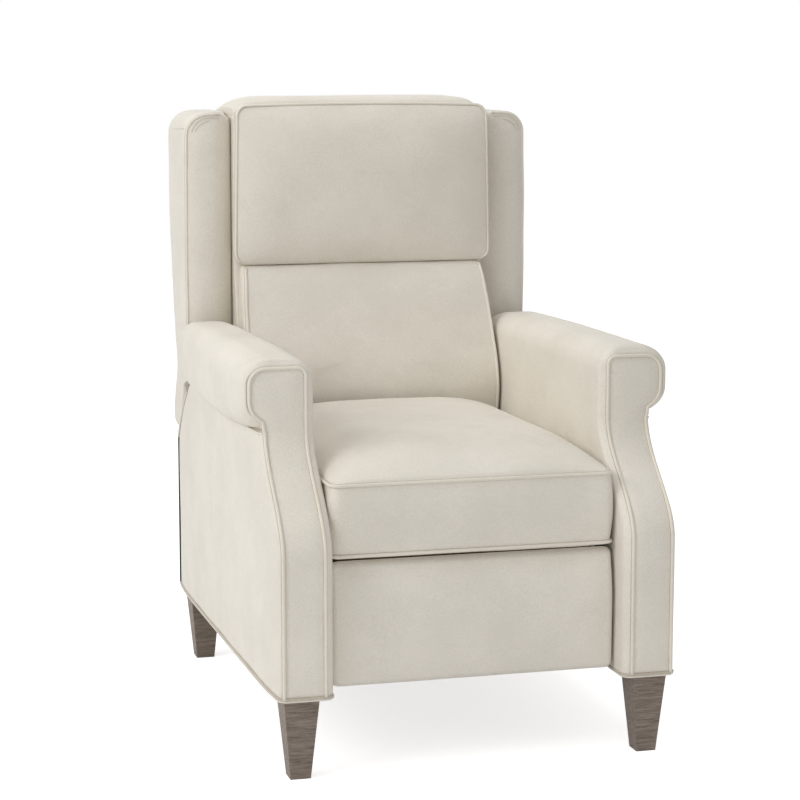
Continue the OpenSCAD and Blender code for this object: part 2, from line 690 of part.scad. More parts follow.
module footrest_brackets() color(metal) place() pair() {
  across(lift_x, lift_x + steel, [
    [board_back, bracket_low], [foot_pivot[0] + 2, foot_pivot[1] - 9.5],
    [foot_pivot[0] + 9, foot_pivot[1] - 3], [steer_high[0] + 6.6, steer_high[1] - 2],
    [steer_high[0], bracket_top], [board_back, bracket_top]]);
  disc(foot_pivot, bar_r, lift_x, steel);
  disc(steer_high, steer_r, lift_x, steel);
  translate([lift_x - 22, board_back, bracket_low]) cube([22 + steel, steel, bracket_top - bracket_low]);
  disc(foot_pivot, stud_r, reach_x - stud_over, lift_x - reach_x + stud_over);
  disc(steer_high, steer_stud, lift_x + steel, side_gap + steel + stud_over);
}
module footrest_board() color(timber) place()
  translate([-seat_plate_x, board_front, foot_low + board_lift])
    cube([2 * seat_plate_x, board_t, foot_h - board_lift - board_drop]);
foot_a = arm_in - 2;
foot_b = foot_h / 2;
foot_shape = pad_outline(foot_a, foot_b, 14, 14, 3);
module footrest_pad() color(leather) place()
  translate([0, board_front, foot_low + foot_b]) rotate([90, 0, 0]) loft([
    pad_ring(foot_shape, foot_a, foot_b, 12, 0),
    pad_ring(foot_shape, foot_a, foot_b, 3, foot_pad_t * 0.29),
    pad_ring(foot_shape, foot_a, foot_b, 0, foot_pad_t * 0.55),
    pad_ring(foot_shape, foot_a, foot_b, 1.5, foot_pad_t * 0.74),
    pad_ring(foot_shape, foot_a, foot_b, 6, foot_pad_t * 0.9),
    pad_ring(foot_shape, foot_a, foot_b, 16, foot_pad_t * 0.96),
    pad_ring(foot_shape, foot_a, foot_b, 50, foot_pad_t)]);

// Back.
module back_side_frames() color(timber) place() pair()
  across(side_frame_x, side_frame_x + side_frame_t, back_side_profile);
module back_rails() color(timber) place() {
  for (r = [
    [waist[0], waist[0] + 50, 405, 445], [pillow_back + 5, pillow_back + 50, crest_foot - 34, crest_foot],
    [rear_top_y - 105, rear_top_y - 60, back_low + 4, back_low + 36]])
    translate([-side_frame_x, r[0], r[2]]) cube([2 * side_frame_x, r[1] - r[0], r[3] - r[2]]);
}
module back_brackets() color(metal) place() pair() difference() {
  union() {
    disc(hinge, hinge_rim, back_bracket_x, steel);
    across(back_bracket_x, back_bracket_x + steel, [
      [hinge[0] - 7, hinge[1] + 14], [731, 414], [738, 430], [745, 500], [775, 500], [775, 420],
      [hinge[0] + 12, hinge[1] - 10]]);
  }
  disc(hinge, hinge_r + run_gap, back_bracket_x - eps, steel + 2 * eps);
}
module outside_back() color(leather) place() across(-wing_x, wing_x, concat(shell_outer, shell_inner));
module back_crest() color(leather) place() intersection() {
  across(-crest_x, crest_x, crest_side);
  deep(pillow_back - 5, rear_top_y, crest_front);
}
module wing() {
  intersection() {
    across(wing_in, wing_x, wing_profile);
    deep(wing_y - 5, rear_top_y, wing_outline);
  }
  across(back_bracket_x, wing_in, [
    [pillow_back + 50, 700], [rear_top_y - 75, 700], [rear_top_y - 60, 800],
    [rear_top_y - 45, crest_foot - 14], [pillow_back + 50, crest_foot - 14]]);
}
module right_wing() color(leather) place() wing();
module left_wing() color(leather) place() left_side() wing();
module wing_welts() color(leather) place() pair()
  cord([for (p = concat(steps([wing_x, wing_foot + 8], [wing_x, wing_top - wing_round], 3),
      arc([wing_x - wing_round, wing_top - wing_round], wing_round, 0, 90, 6)))
    [p[0] - 1, wing_y, p[1]]], welt_r, [0, 1, 0]);

pillow_a = half_w;
pillow_b = pillow_h / 2;
pillow_shape = pad_outline(pillow_a, pillow_b, 26, 22, 4);
module at_pillow() translate([0, pillow_back, pillow_low + pillow_b]) rotate([90, 0, 0]) children();
module head_pillow() color(leather) place() at_pillow()
  boxed_pad(pillow_shape, pillow_a, pillow_b, 4, pillow_depth, pillow_crown, 1.5);
module pillow_welt() color(leather) place() at_pillow()
  cord_loop(pad_ring(pillow_shape, pillow_a, pillow_b, 0.5, pillow_depth), welt_r, [0, 0, 1]);

// Lumbar pad: its rear face lies on the back frame, its front swells and rounds at both ends.
function lumbar_profile(k, drop) = concat(
  [[frame_y(lumbar_foot[1]), lumbar_foot[1]], waist,
   [frame_y(625), 625], [frame_y(750 - drop), 750 - drop]],
  [[frame_y(750) - 8 * k, 763 - drop], [frame_y(750) - 0.45 * lumbar_t * k, 768 - drop],
   [frame_y(750) - 0.78 * lumbar_t * k, 764 - drop]],
  [for (i = [len(lumbar_front) - 1:-1:0]) let (z = lumbar_front[i][0])
    [frame_y(z) - lumbar_front[i][1] * lumbar_t * k, z - (i > 4 ? drop : 0)]],
  [[frame_y(420) - 0.86 * lumbar_t * k, 420]]);
lumbar_ends = [[1, 0.84, 12], [0.985, 0.93, 6], [0.94, 0.98, 2], [0.85, 1, 0], [0.55, 1, 0], [0.2, 1, 0]];
function lumbar_ring(side, e) = [for (p = lumbar_profile(
  e[1] * (1 + lumbar_crown / 100 * (1 - e[0] * e[0])), e[2])) [side * e[0] * lumbar_x, p[0], p[1]]];
module lumbar_pad() color(leather) place() loft(concat(
  [for (e = lumbar_ends) lumbar_ring(-1, e)],
  [for (i = [len(lumbar_ends) - 1:-1:0]) lumbar_ring(1, lumbar_ends[i])]));
module lumbar_welts() color(leather) place() pair()
  cord([for (i = [5:13]) let (p = lumbar_ring(1, lumbar_ends[1])[i]) p - [0, 1, 0]], welt_r * 0.9, [1, 0, 0]);

left_arm_pad();
right_arm_pad();
left_arm_frame();
right_arm_frame();
left_front_panel();
right_front_panel();
left_outside_panel();
right_outside_panel();
left_arm_welts();
right_arm_welts();
front_rail();
rear_rail();
rear_dust_panel();
rear_dust_covers();
front_left_leg();
front_right_leg();
rear_left_leg();
rear_right_leg();
leg_plates();
leg_bolts();
base_plates();
plate_screws();
front_swing_links();
rear_swing_links();
seat_side_rails();
seat_cross_rails();
seat_springs();
seat_deck();
seat_plates();
seat_cushion();
seat_welts();
torque_tube();
drive_cranks();
lift_links();
reach_links();
steering_links();
footrest_board();
footrest_pad();
footrest_brackets();
back_side_frames();
back_rails();
back_brackets();
outside_back();
back_crest();
left_wing();
right_wing();
wing_welts();
head_pillow();
pillow_welt();
lumbar_pad();
lumbar_welts();
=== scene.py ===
"""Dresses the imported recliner: ivory leather over the CAD frame, weathered wood legs, dark steel.

Outlines and sizes are in millimetres in the chair's own frame: x across, y back from the plane of
the arm fronts, z up from the floor. row() turns them into metres in the frame that the CAD shares.
"""
import math

import bmesh
import bpy
import numpy as np
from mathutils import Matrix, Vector, noise


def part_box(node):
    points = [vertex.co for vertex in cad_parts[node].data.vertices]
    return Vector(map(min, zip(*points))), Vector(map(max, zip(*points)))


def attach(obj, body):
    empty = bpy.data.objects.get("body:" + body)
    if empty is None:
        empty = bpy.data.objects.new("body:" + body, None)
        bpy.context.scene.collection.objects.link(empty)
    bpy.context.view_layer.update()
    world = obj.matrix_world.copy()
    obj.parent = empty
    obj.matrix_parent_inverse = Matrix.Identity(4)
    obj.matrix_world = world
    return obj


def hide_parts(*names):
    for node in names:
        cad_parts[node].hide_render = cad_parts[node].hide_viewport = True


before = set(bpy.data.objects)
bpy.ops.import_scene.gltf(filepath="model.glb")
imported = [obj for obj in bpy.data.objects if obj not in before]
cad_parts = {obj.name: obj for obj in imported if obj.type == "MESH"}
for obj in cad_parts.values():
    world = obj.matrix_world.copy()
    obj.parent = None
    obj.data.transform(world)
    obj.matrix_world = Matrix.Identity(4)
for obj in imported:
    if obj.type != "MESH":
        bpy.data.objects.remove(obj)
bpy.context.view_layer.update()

MM = 0.001
ORIGIN = np.array([0.0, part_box("left_front_panel")[0].y, 0.0])


def row(points):
    """Chair millimetres to metres in the shared frame."""
    return np.asarray(points, float) * MM + ORIGIN


def chair_box(node):
    """Lowest and highest corner of a CAD node, in chair millimetres."""
    low, high = (np.array(corner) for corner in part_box(node))
    return (low - ORIGIN) / MM, (high - ORIGIN) / MM


# Driving sizes, read from the frame.
ARM_LOW, ARM_HIGH = chair_box("right_arm_pad")
ARM_IN, ROLL_OUT = ARM_LOW[0], ARM_HIGH[0]
BASE_Z, ARM_TOP = ARM_LOW[2], ARM_HIGH[2]
ARM_LEN = ARM_HIGH[1]
CUSHION_LOW, CUSHION_HIGH = chair_box("seat_cushion")
PILLOW_LOW, PILLOW_HIGH = chair_box("head_pillow")
LUMBAR_LOW, LUMBAR_HIGH = chair_box("lumbar_pad")
FOOT_LOW, FOOT_HIGH = chair_box("footrest_pad")
WING_LOW, WING_HIGH = chair_box("right_wing")
CREST_LOW, CREST_HIGH = chair_box("back_crest")
SHELL_LOW, SHELL_HIGH = chair_box("outside_back")

# Arms: the outer face, the roll, the swept front and the slanted rear edge.
ARM_OUT = 334.0
PANEL_T = 6.0
ARM_CORE = ARM_OUT - PANEL_T
ROLL_R = 44.0
ROLL_TOP_R = 44.0
NOTCH_X = ARM_OUT + 4.0
NOTCH_Z = 567.0
SWEEP_LOW, SWEEP_HIGH, SWEEP_D = 370.0, 560.0, 131.0
REAR_EDGE_Z, SLANT_Y, SLANT_Z, ROLL_END = 432.0, 745.0, 552.0, 790.0
PANEL_SWELL = 12.0
PANEL_LIFT = 4.0
PANEL_SHARE = 0.92
FRONT_EDGE = 16.0
REAR_EDGE = 12.0
ROLL_TAPER = 14.0
ROLL_WIDER = 5.5
ROLL_FULL = 5.0
ARM_FALL = 9.0
ROLL_SAG = 24.0

# Where an arm's section and that of its front panel lie inside the arm: side, top and roll, then the
# radii of the inner and outer top corners and the place of the outer foot.
WHOLE_ARM = (0, 0, 0, 42, ROLL_TOP_R, ARM_CORE)
ARM_FRONT = (15, 18, 8, 13, 27, ARM_CORE + 4)

# Seat and footrest.
SEAT_SEAM_LOW, SEAT_SEAM_HIGH = 6.0, 123.0
SEAT_BULGE, SEAT_BULGE_REACH = 3.5, 30.0
FOOT_EDGE = 10.0
FOOT_SWELL, FOOT_FALL = 2.5, 9.0

# Back: head pillow, lumbar pad and wings.
PILLOW_SEAM_Y = 764.0
PILLOW_SWELL, PILLOW_UNDER, PILLOW_OVER = 17.0, 9.0, 6.0
PILLOW_RISE = 5.0
LUMBAR_EDGE = 13.0
WING_IN = ARM_IN - 4.0
WING_FACE = 801.0
WING_ROUND = 42.0
WING_EDGE = 7.0
WING_TAPER = 5.0
WING_BACK_GAP = 8.0
WING_FOLD_R = 31.0
GUSSET_IN = 226.0

# Legs: width of the eased edges.
LEG_BEVEL = 1.6

# Cords and seams.
WELT_R = 3.1
PAD_WELT_R = WELT_R * 0.85
SHELL_WELT_R = WELT_R * 0.8
EDGE_WELT_R = WELT_R * 0.75
BED_R = 3.8
STITCH_R = 0.38
BLACK_CORD_R = 2.6

# Padding: spacing of the points on a cap's middle line, cloth frames and rounds of averaging.
CENTRE_STEP = 14.0
CLOTH_FRAMES = 20
EVEN_ROUNDS = 8

# Stage.
CAMERA_PLACE = (-1.151, -4.1763, 1.1813)
CAMERA_TILT, CAMERA_TURN = 81.62, -15.45
LENS, SENSOR = 108.0, 36.0
WORLD_LEVEL = 0.44
FLOOR_HALF = 8.0
FLOOR_GLOW = 0.7
AIM = (0.0, 0.0, 0.6)
LAMPS = [
    ("key", (-3.2, -1.5, 2.87), AIM, 2.4, 55.0),
    ("side", (-4.6, 0.4, 2.2), AIM, 2.6, 36.0),
    ("overhead", (0.0, 0.2, 3.6), AIM, 2.5, 29.0),
    ("front fill", (0.0, -2.4, 0.3), (0.0, -0.3, 0.35), 1.5, 7.5),
]


# Numbers and outlines

def hand(side):
    return "left" if side < 0 else "right"


def arc(centre, radius, start, end, count):
    angles = np.radians(np.linspace(start, end, count))
    return np.stack([centre[0] + radius * np.cos(angles), centre[1] + radius * np.sin(angles)], 1)


def line(start, end, count):
    return np.linspace(start, end, count)


def join(*parts):
    """One outline from parts, without the points that repeat where they meet."""
    points = np.concatenate(parts)
    keep = [0]
    for i in range(1, len(points)):
        if np.linalg.norm(points[i] - points[keep[-1]]) > 1e-6:
            keep.append(i)
    points = points[keep]
    return points[:-1] if np.linalg.norm(points[0] - points[-1]) < 1e-6 else points


def spread(points, step, closed=True):
    """The same outline with points about one step apart."""
    points = np.asarray(points, float)
    path = np.concatenate([points, points[:1]]) if closed else points
    lengths = np.linalg.norm(np.diff(path, axis=0), axis=1)
    along = np.concatenate([[0.0], np.cumsum(lengths)])
    count = max(4, int(round(along[-1] / step)))
    at = np.linspace(0.0, along[-1], count + 1)
    even = np.stack([np.interp(at, along, path[:, k]) for k in range(path.shape[1])], 1)
    return even[:-1] if closed else even


def rounded(low, high, radii, step):
    """Anticlockwise rectangle with corner radii from the lower left one on, evenly spread."""
    (u0, w0), (u1, w1) = low, high
    a, b, c, d = radii
    return spread(join(
        arc((u0 + a, w0 + a), a, 180, 270, 10), arc((u1 - b, w0 + b), b, 270, 360, 10),
        arc((u1 - c, w1 - c), c, 0, 90, 10), arc((u0 + d, w1 - d), d, 90, 180, 10)), step)


def rounding(edge, degrees, share=1.0):
    """Stations that round a near edge over, from the face to the side."""
    return [(0, edge * (1 - math.cos(a)), edge * share * (1 - math.sin(a))) for a in np.radians(degrees)]


def inward(outline):
    """Unit vectors to the inside of an anticlockwise outline."""
    edge = np.roll(outline, -1, 0) - np.roll(outline, 1, 0)
    return np.stack([-edge[:, 1], edge[:, 0]], 1) / np.linalg.norm(edge, axis=1)[:, None]


def front_y(z):
    """Set-back of the arm fronts at a height."""
    return SWEEP_D * smooth_cosine((np.asarray(z, float) - SWEEP_LOW) / (SWEEP_HIGH - SWEEP_LOW))


def smooth_cosine(t):
    return (1 - np.cos(np.pi * np.clip(t, 0.0, 1.0))) / 2


def arm_rear_y(z):
    """Rear end of an arm at a height."""
    heights = [BASE_Z, REAR_EDGE_Z, SLANT_Z, 576, 602, 640, 660, 672, 682]
    ends = [ARM_LEN, ARM_LEN, SLANT_Y + 6, 784, ROLL_END, ROLL_END, 785, 777, 760]
    return np.interp(z, heights, ends)


def frame_front_y(z):
    """Front of the back frame, on which the lumbar pad lies."""
    return np.interp(z, [405, 500, 765], [728, 735, 800])


def shell_y(z):
    """Rear face of the outside back."""
    above = np.asarray(z, float) - SHELL_LOW[2]
    heights = [0, 10, 34, 72, 112, 152, 210, 300, 410, 510, 574, 600]
    behind = [-39, -13, -2, -23, -51, -65, -60, -43, -21, -7, 0, -4]
    coarse = np.interp(above, heights, behind)
    soft = sum(np.interp(above + d, heights, behind) for d in (-12, -6, 6, 12))
    return SHELL_HIGH[1] + (coarse + soft) / 5


# Meshes

def mesh_object(name, points, faces):
    """Object from chair millimetres, with its faces turned outwards."""
    mesh = bpy.data.meshes.new(name)
    mesh.from_pydata([tuple(p) for p in row(points)], [], [tuple(f) for f in faces])
    work = bmesh.new()
    work.from_mesh(mesh)
    bmesh.ops.recalc_face_normals(work, faces=work.faces)
    work.to_mesh(mesh)
    work.free()
    mesh.polygons.foreach_set("use_smooth", [True] * len(mesh.polygons))
    obj = bpy.data.objects.new(name, mesh)
    bpy.context.scene.collection.objects.link(obj)
    return obj


def spine_of(outline):
    """Middle line of an outline, as a function from its points to the nearest points of that line."""
    low, high = outline.min(0), outline.max(0)
    half = (high - low) / 2
    mid = (high + low) / 2
    reach = half - half.min()
    return lambda p: mid + np.clip(p - mid, -reach, reach)


def slab(name, outline, near, far, stations, cap_rings, crown=(0.0, 0.0), spine=None, insets=None,
         power=2.4, lay=None, gather=1.35):
    """Closed padded form over an outline, between two depths.

    near and far give the depth at outline points. A station is (share of the way from near to far,
    offset in depth, inset), with one ring of points each. crown swells the caps outwards, power sets
    how full they are, and gather how close their rings lie to the edge. lay turns (u, w, depth) into
    x, y, z. Returns the object and the point numbers of each station's ring.
    """
    insets = inward(outline) if insets is None else insets
    spine = spine or spine_of(outline)
    lay = lay or (lambda u, w, d: (u, d, w))
    count = len(outline)
    rings = []
    for share, offset, inset in stations:
        flat = outline + insets * inset
        depth = (1 - share) * near(flat) + share * far(flat) + offset
        rings.append((flat, depth))

    def cap(flat0, depth_of, offset, bulge):
        centre = spine(flat0)
        made = []
        for i in range(1, cap_rings + 1):
            s = 1 - (i / cap_rings) ** gather
            flat = centre + (flat0 - centre) * s
            if i == cap_rings:
                flat = spine(np.round(flat0 / CENTRE_STEP) * CENTRE_STEP)
            made.append((flat, depth_of(flat) + offset + bulge * (1 - s ** power)))
        return made

    first, last = stations[0], stations[-1]
    front = cap(rings[0][0], near, first[1], -crown[0])
    back = cap(rings[-1][0], far, last[1], crown[1])
    ordered = front[::-1] + rings + back
    verts = np.array([lay(f[i, 0], f[i, 1], d[i]) for f, d in ordered for i in range(count)])
    faces = []
    for r in range(len(ordered) - 1):
        for i in range(count):
            j = (i + 1) % count
            faces.append((r * count + i, (r + 1) * count + i, (r + 1) * count + j, r * count + j))

    merged, numbers, kept = {}, [], []
    for i, v in enumerate(verts):
        ring = i // count
        key = tuple(np.round(v, 4)) if ring in (0, len(ordered) - 1) else i
        if key not in merged:
            merged[key] = len(kept)
            kept.append(v)
        numbers.append(merged[key])
    clean = []
    for face in faces:
        ids = []
        for k in face:
            if numbers[k] not in ids:
                ids.append(numbers[k])
        if len(ids) > 2:
            clean.append(ids)
    for ring in (0, len(ordered) - 1):
        ids = [numbers[ring * count + i] for i in range(count)]
        if len(set(ids)) == len(ids):
            clean.append(ids)
    obj = mesh_object(name, np.array(kept), clean)
    start = len(front)
    loops = [[numbers[(start + r) * count + i] for i in range(count)] for r in range(len(rings))]
    return obj, loops


def ring_points(obj, loop):
    """Places of a ring's points, in chair millimetres."""
    co = np.array([obj.data.vertices[i].co[:] for i in loop])
    return (co - ORIGIN) / MM


def tube(name, paths, radius, sides=10):
    """Round cords along paths of chair points; a path is (points, closed)."""
    verts, faces = [], []
    for points, closed in paths:
        points = np.asarray(points, float)
        n = len(points)
        base = len(verts)
        ahead = np.roll(points, -1, 0) if closed else np.concatenate([points[1:], points[-1:]])
        behind = np.roll(points, 1, 0) if closed else np.concatenate([points[:1], points[:-1]])
        tangent = ahead - behind
        tangent /= np.linalg.norm(tangent, axis=1)[:, None]
        normal = np.cross(tangent[0], [0.31, 0.52, 0.79])
        for i in range(n):
            normal = normal - tangent[i] * np.dot(normal, tangent[i])
            normal /= np.linalg.norm(normal)
            side = np.cross(tangent[i], normal)
            for k in range(sides):
                a = 2 * math.pi * k / sides
                verts.append(points[i] + radius * (math.cos(a) * normal + math.sin(a) * side))
        for i in range(n if closed else n - 1):
            for k in range(sides):
                here, there = base + i * sides, base + ((i + 1) % n) * sides
                faces.append((here + k, here + (k + 1) % sides, there + (k + 1) % sides, there + k))
        if not closed:
            faces.append([base + k for k in range(sides)])
            faces.append([base + (n - 1) * sides + k for k in range(sides)][::-1])
    return mesh_object(name, np.array(verts), faces)


def soften(obj, height, size, seed, keep=()):
    """Moves the surface gently in and out, as padding under leather does, away from kept points."""
    kept = set(keep)
    mesh = obj.data
    moves = []
    for v in mesh.vertices:
        p = v.co / (size * MM) + Vector((seed * 7.3, seed * 3.1, seed * 1.7))
        moves.append(v.normal * (noise.noise(p) * height * MM if v.index not in kept else 0.0))
    for v, move in zip(mesh.vertices, moves):
        v.co += move


def evened(mesh, moved, pinned):
    """Takes small wrinkles out of a displacement by averaging it over neighbouring points."""
    ends = np.array([edge.vertices[:] for edge in mesh.edges])
    held = np.array(sorted(set(int(i) for i in pinned)))
    for _ in range(EVEN_ROUNDS):
        total = moved.copy()
        count = np.ones(len(moved))
        for a, b in ((0, 1), (1, 0)):
            np.add.at(total, ends[:, a], moved[ends[:, b]])
            np.add.at(count, ends[:, a], 1.0)
        moved = total / count[:, None]
        moved[held] = 0.0
    return moved


def puff(obj, pinned, pressure, cap):
    """Inflates a pad as sewn cloth held at its seams, with each point's travel capped."""
    mesh = obj.data
    rest = np.array([v.co[:] for v in mesh.vertices])
    group = obj.vertex_groups.new(name="seams")
    group.add([int(i) for i in pinned], 1.0, "REPLACE")
    cloth = obj.modifiers.new("Cloth", "CLOTH")
    settings = cloth.settings
    settings.quality = 6
    settings.mass = 0.4
    settings.tension_stiffness = 18
    settings.compression_stiffness = 18
    settings.shear_stiffness = 8
    settings.bending_stiffness = 2.5
    settings.use_pressure = True
    settings.uniform_pressure_force = pressure
    settings.vertex_group_mass = "seams"
    settings.effector_weights.gravity = 0.0
    cloth.collision_settings.use_collision = False
    scene = bpy.context.scene
    for number in range(1, CLOTH_FRAMES + 1):
        scene.frame_set(number)
    shape = obj.evaluated_get(bpy.context.evaluated_depsgraph_get())
    moved = np.array([v.co[:] for v in shape.data.vertices]) - rest
    obj.modifiers.remove(cloth)
    scene.frame_set(1)
    far = np.linalg.norm(moved, axis=1)[:, None]
    limit = cap * MM
    moved *= limit * np.tanh(far / limit) / np.maximum(far, 1e-9)
    moved = evened(mesh, moved, pinned)
    for v, place in zip(mesh.vertices, rest + moved):
        v.co = place
    obj.vertex_groups.clear()


def finish_piece(obj, body, material, nodes=(), levels=1):
    """Gives a piece its body, finish and the CAD nodes that it stands for."""
    if levels:
        smooth = obj.modifiers.new("Smooth", "SUBSURF")
        smooth.render_levels = levels
        smooth.levels = levels
    obj.data.materials.append(material)
    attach(obj, body)
    if nodes:
        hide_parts(*nodes)
    return obj


def welt(name, body, paths, sink, nodes=(), radius=WELT_R):
    """Welt cords and, under them, the stitched fold as a wider tube in darker leather: painted shade that
    shows as a dark line in the groove on both sides of the cord.
    """
    cords = tube(name, paths, radius)
    finish_piece(cords, body, WELT, nodes, levels=0)
    lowered = [(np.asarray(points, float) + np.asarray(sink, float), closed) for points, closed in paths]
    # Painted shade: the fold tube is darker leather that stands for the shade in the groove beside the cord.
    groove_shade = tube(name + "_fold_shade", lowered, radius * BED_R / WELT_R, 8)
    finish_piece(groove_shade, body, SEAM_SHADE, levels=0)


def stitches(name, body, paths):
    """Fine sewn lines that lie in the leather, drawn in the darker seam leather: real seams whose darkness
    is painted shade of their creases.
    """
    lines = tube(name, [(points, False) for points in paths], STITCH_R, 6)
    finish_piece(lines, body, SEAM_SHADE, levels=0)


# Materials

def linear(*srgb):
    """Linear RGBA from sRGB levels of 0 to 255."""
    return tuple((c / 255 / 12.92) if c / 255 <= 0.04045 else ((c / 255 + 0.055) / 1.055) ** 2.4
                 for c in srgb) + (1.0,)


class Shader:
    """A Principled material and short calls for the nodes before it."""

    def __init__(self, name, colour, roughness, metallic=0.0):
        self.material = bpy.data.materials.new(name)
        self.material.use_nodes = True
        self.tree = self.material.node_tree
        self.bsdf = self.tree.nodes["Principled BSDF"]
        self.bsdf.inputs["Base Color"].default_value = colour
        self.bsdf.inputs["Roughness"].default_value = roughness
        self.bsdf.inputs["Metallic"].default_value = metallic
        self.place = self.tree.nodes.new("ShaderNodeTexCoord").outputs["Object"]

    def node(self, kind, links=(), **values):
        made = self.tree.nodes.new("ShaderNode" + kind)
        for key, value in values.items():
            if hasattr(made, key):
                setattr(made, key, value)
            else:
                made.inputs[key.replace("_", " ")].default_value = value
        for name, source in dict(links).items():
            self.tree.links.new(source, made.inputs[name])
        return made

    def scaled(self, x, y, z):
        return self.node("Mapping", {"Vector": self.place}, Scale=(x, y, z)).outputs["Vector"]

    def noise(self, scale, detail, rough=0.5, vector=None):
        return self.node("TexNoise", {"Vector": vector or self.place}, Scale=scale, Detail=detail,
                         Roughness=rough).outputs["Fac"]

    def cells(self, scale, feature="F1"):
        return self.node("TexVoronoi", {"Vector": self.place}, feature=feature,
                         Scale=scale).outputs["Distance"]

    def ramp(self, source, low, high):
        return self.node("MapRange", {"Value": source}, From_Min=low[0], From_Max=high[0],
                         To_Min=low[1], To_Max=high[1]).outputs["Result"]

    def mix(self, factor, first, second):
        made = self.node("Mix", data_type="RGBA")
        self.tree.links.new(factor, made.inputs["Factor"])
        made.inputs["A"].default_value = first
        made.inputs["B"].default_value = second
        return made.outputs["Result"]

    def add(self, first, second, share):
        scaled = self.node("Math", {0: second}, operation="MULTIPLY")
        scaled.inputs[1].default_value = share
        total = self.node("Math", {0: first, 1: scaled.outputs[0]}, operation="ADD")
        return total.outputs[0]

    def colour(self, source):
        self.tree.links.new(source, self.bsdf.inputs["Base Color"])

    def roughness(self, source):
        self.tree.links.new(source, self.bsdf.inputs["Roughness"])

    def bump(self, height, distance, strength, after=None):
        links = {"Height": height}
        if after is not None:
            links["Normal"] = after
        made = self.node("Bump", links, Distance=distance, Strength=strength)
        self.tree.links.new(made.outputs["Normal"], self.bsdf.inputs["Normal"])
        return made.outputs["Normal"]


def leather(name, light, dark, grain=0.0006):
    """Pebbled upholstery leather: two sizes of grain, faint clouds of tone and uneven gloss."""
    made = Shader(name, light, 0.52)
    clouds = made.ramp(made.noise(7.0, 4.0, 0.6), (0.35, 0.0), (0.7, 1.0))
    specks = made.ramp(made.noise(330.0, 3.0, 0.7), (0.35, -0.5), (0.65, 0.9))
    made.colour(made.mix(made.add(clouds, specks, 0.6), light, dark))
    made.roughness(made.ramp(made.noise(35.0, 3.0), (0.3, 0.46), (0.7, 0.6)))
    pebbles = made.cells(430.0, "SMOOTH_F1")
    fine = made.noise(1300.0, 2.0)
    coarse = made.noise(42.0, 4.0, 0.6)
    first = made.bump(coarse, 0.0012, 0.35)
    made.bump(made.add(pebbles, fine, 0.5), grain, 0.9, first)
    made.bsdf.inputs["Specular IOR Level"].default_value = 0.35
    made.bsdf.inputs["Sheen Weight"].default_value = 0.03
    return made.material


def cloth_lining(name, colour):
    """Thin woven black lining."""
    made = Shader(name, colour, 0.95)
    made.colour(made.mix(made.noise(900.0, 2.0), colour, linear(38, 38, 40)))
    made.bump(made.cells(900.0), 0.0003, 0.6)
    return made.material


def wood(name, light, dark, along, grain=1.0):
    """Sawn wood: streaks along one axis, pores and a little variation between boards."""
    made = Shader(name, light, 0.55)
    stretch = [grain * 95.0] * 3
    stretch[along] = grain * 9.0
    streaks = made.noise(3.0, 6.0, 0.65, made.scaled(*stretch))
    pores = made.noise(9.0, 3.0, 0.6, made.scaled(*[s * 2.2 for s in stretch]))
    tone = made.ramp(made.add(streaks, pores, 0.35), (0.48, 0.0), (0.86, 1.0))
    made.colour(made.mix(tone, light, dark))
    made.roughness(made.ramp(streaks, (0.3, 0.48), (0.7, 0.68)))
    made.bump(made.add(streaks, pores, 0.6), 0.0006, 0.5)
    made.bsdf.inputs["Specular IOR Level"].default_value = 0.25
    return made.material


def steel(name, colour, roughness, metallic):
    """Link steel, spring wire or bolts, with faint rolling marks."""
    made = Shader(name, colour, roughness, metallic)
    made.roughness(made.ramp(made.noise(120.0, 4.0), (0.3, roughness - 0.08), (0.7, roughness + 0.1)))
    made.bump(made.noise(700.0, 2.0), 0.0001, 0.3)
    return made.material


IVORY = leather("ivory_leather", linear(230, 224, 213), linear(220, 214, 202))
WELT = leather("welt_leather", linear(228, 222, 210), linear(220, 213, 199), grain=0.0002)
# Darker leather that paints the shade in the grooves beside the welts and in the sewn fold lines.
SEAM_SHADE = leather("seam_shade_leather", linear(196, 188, 173), linear(182, 173, 158), grain=0.0002)
LINING = cloth_lining("black_lining", linear(24, 24, 26))
LEG_WOOD = wood("leg_wood", linear(150, 137, 126), linear(100, 89, 79), 0)
FRAME_WOOD = wood("frame_wood", linear(196, 168, 128), linear(160, 128, 88), 1, 0.5)
LINK_STEEL = steel("link_steel", linear(70, 72, 76), 0.42, 0.85)
SPRING_STEEL = steel("spring_steel", linear(120, 120, 118), 0.35, 0.9)
BOLT_STEEL = steel("bolt_steel", linear(168, 166, 160), 0.3, 0.95)


# Seat

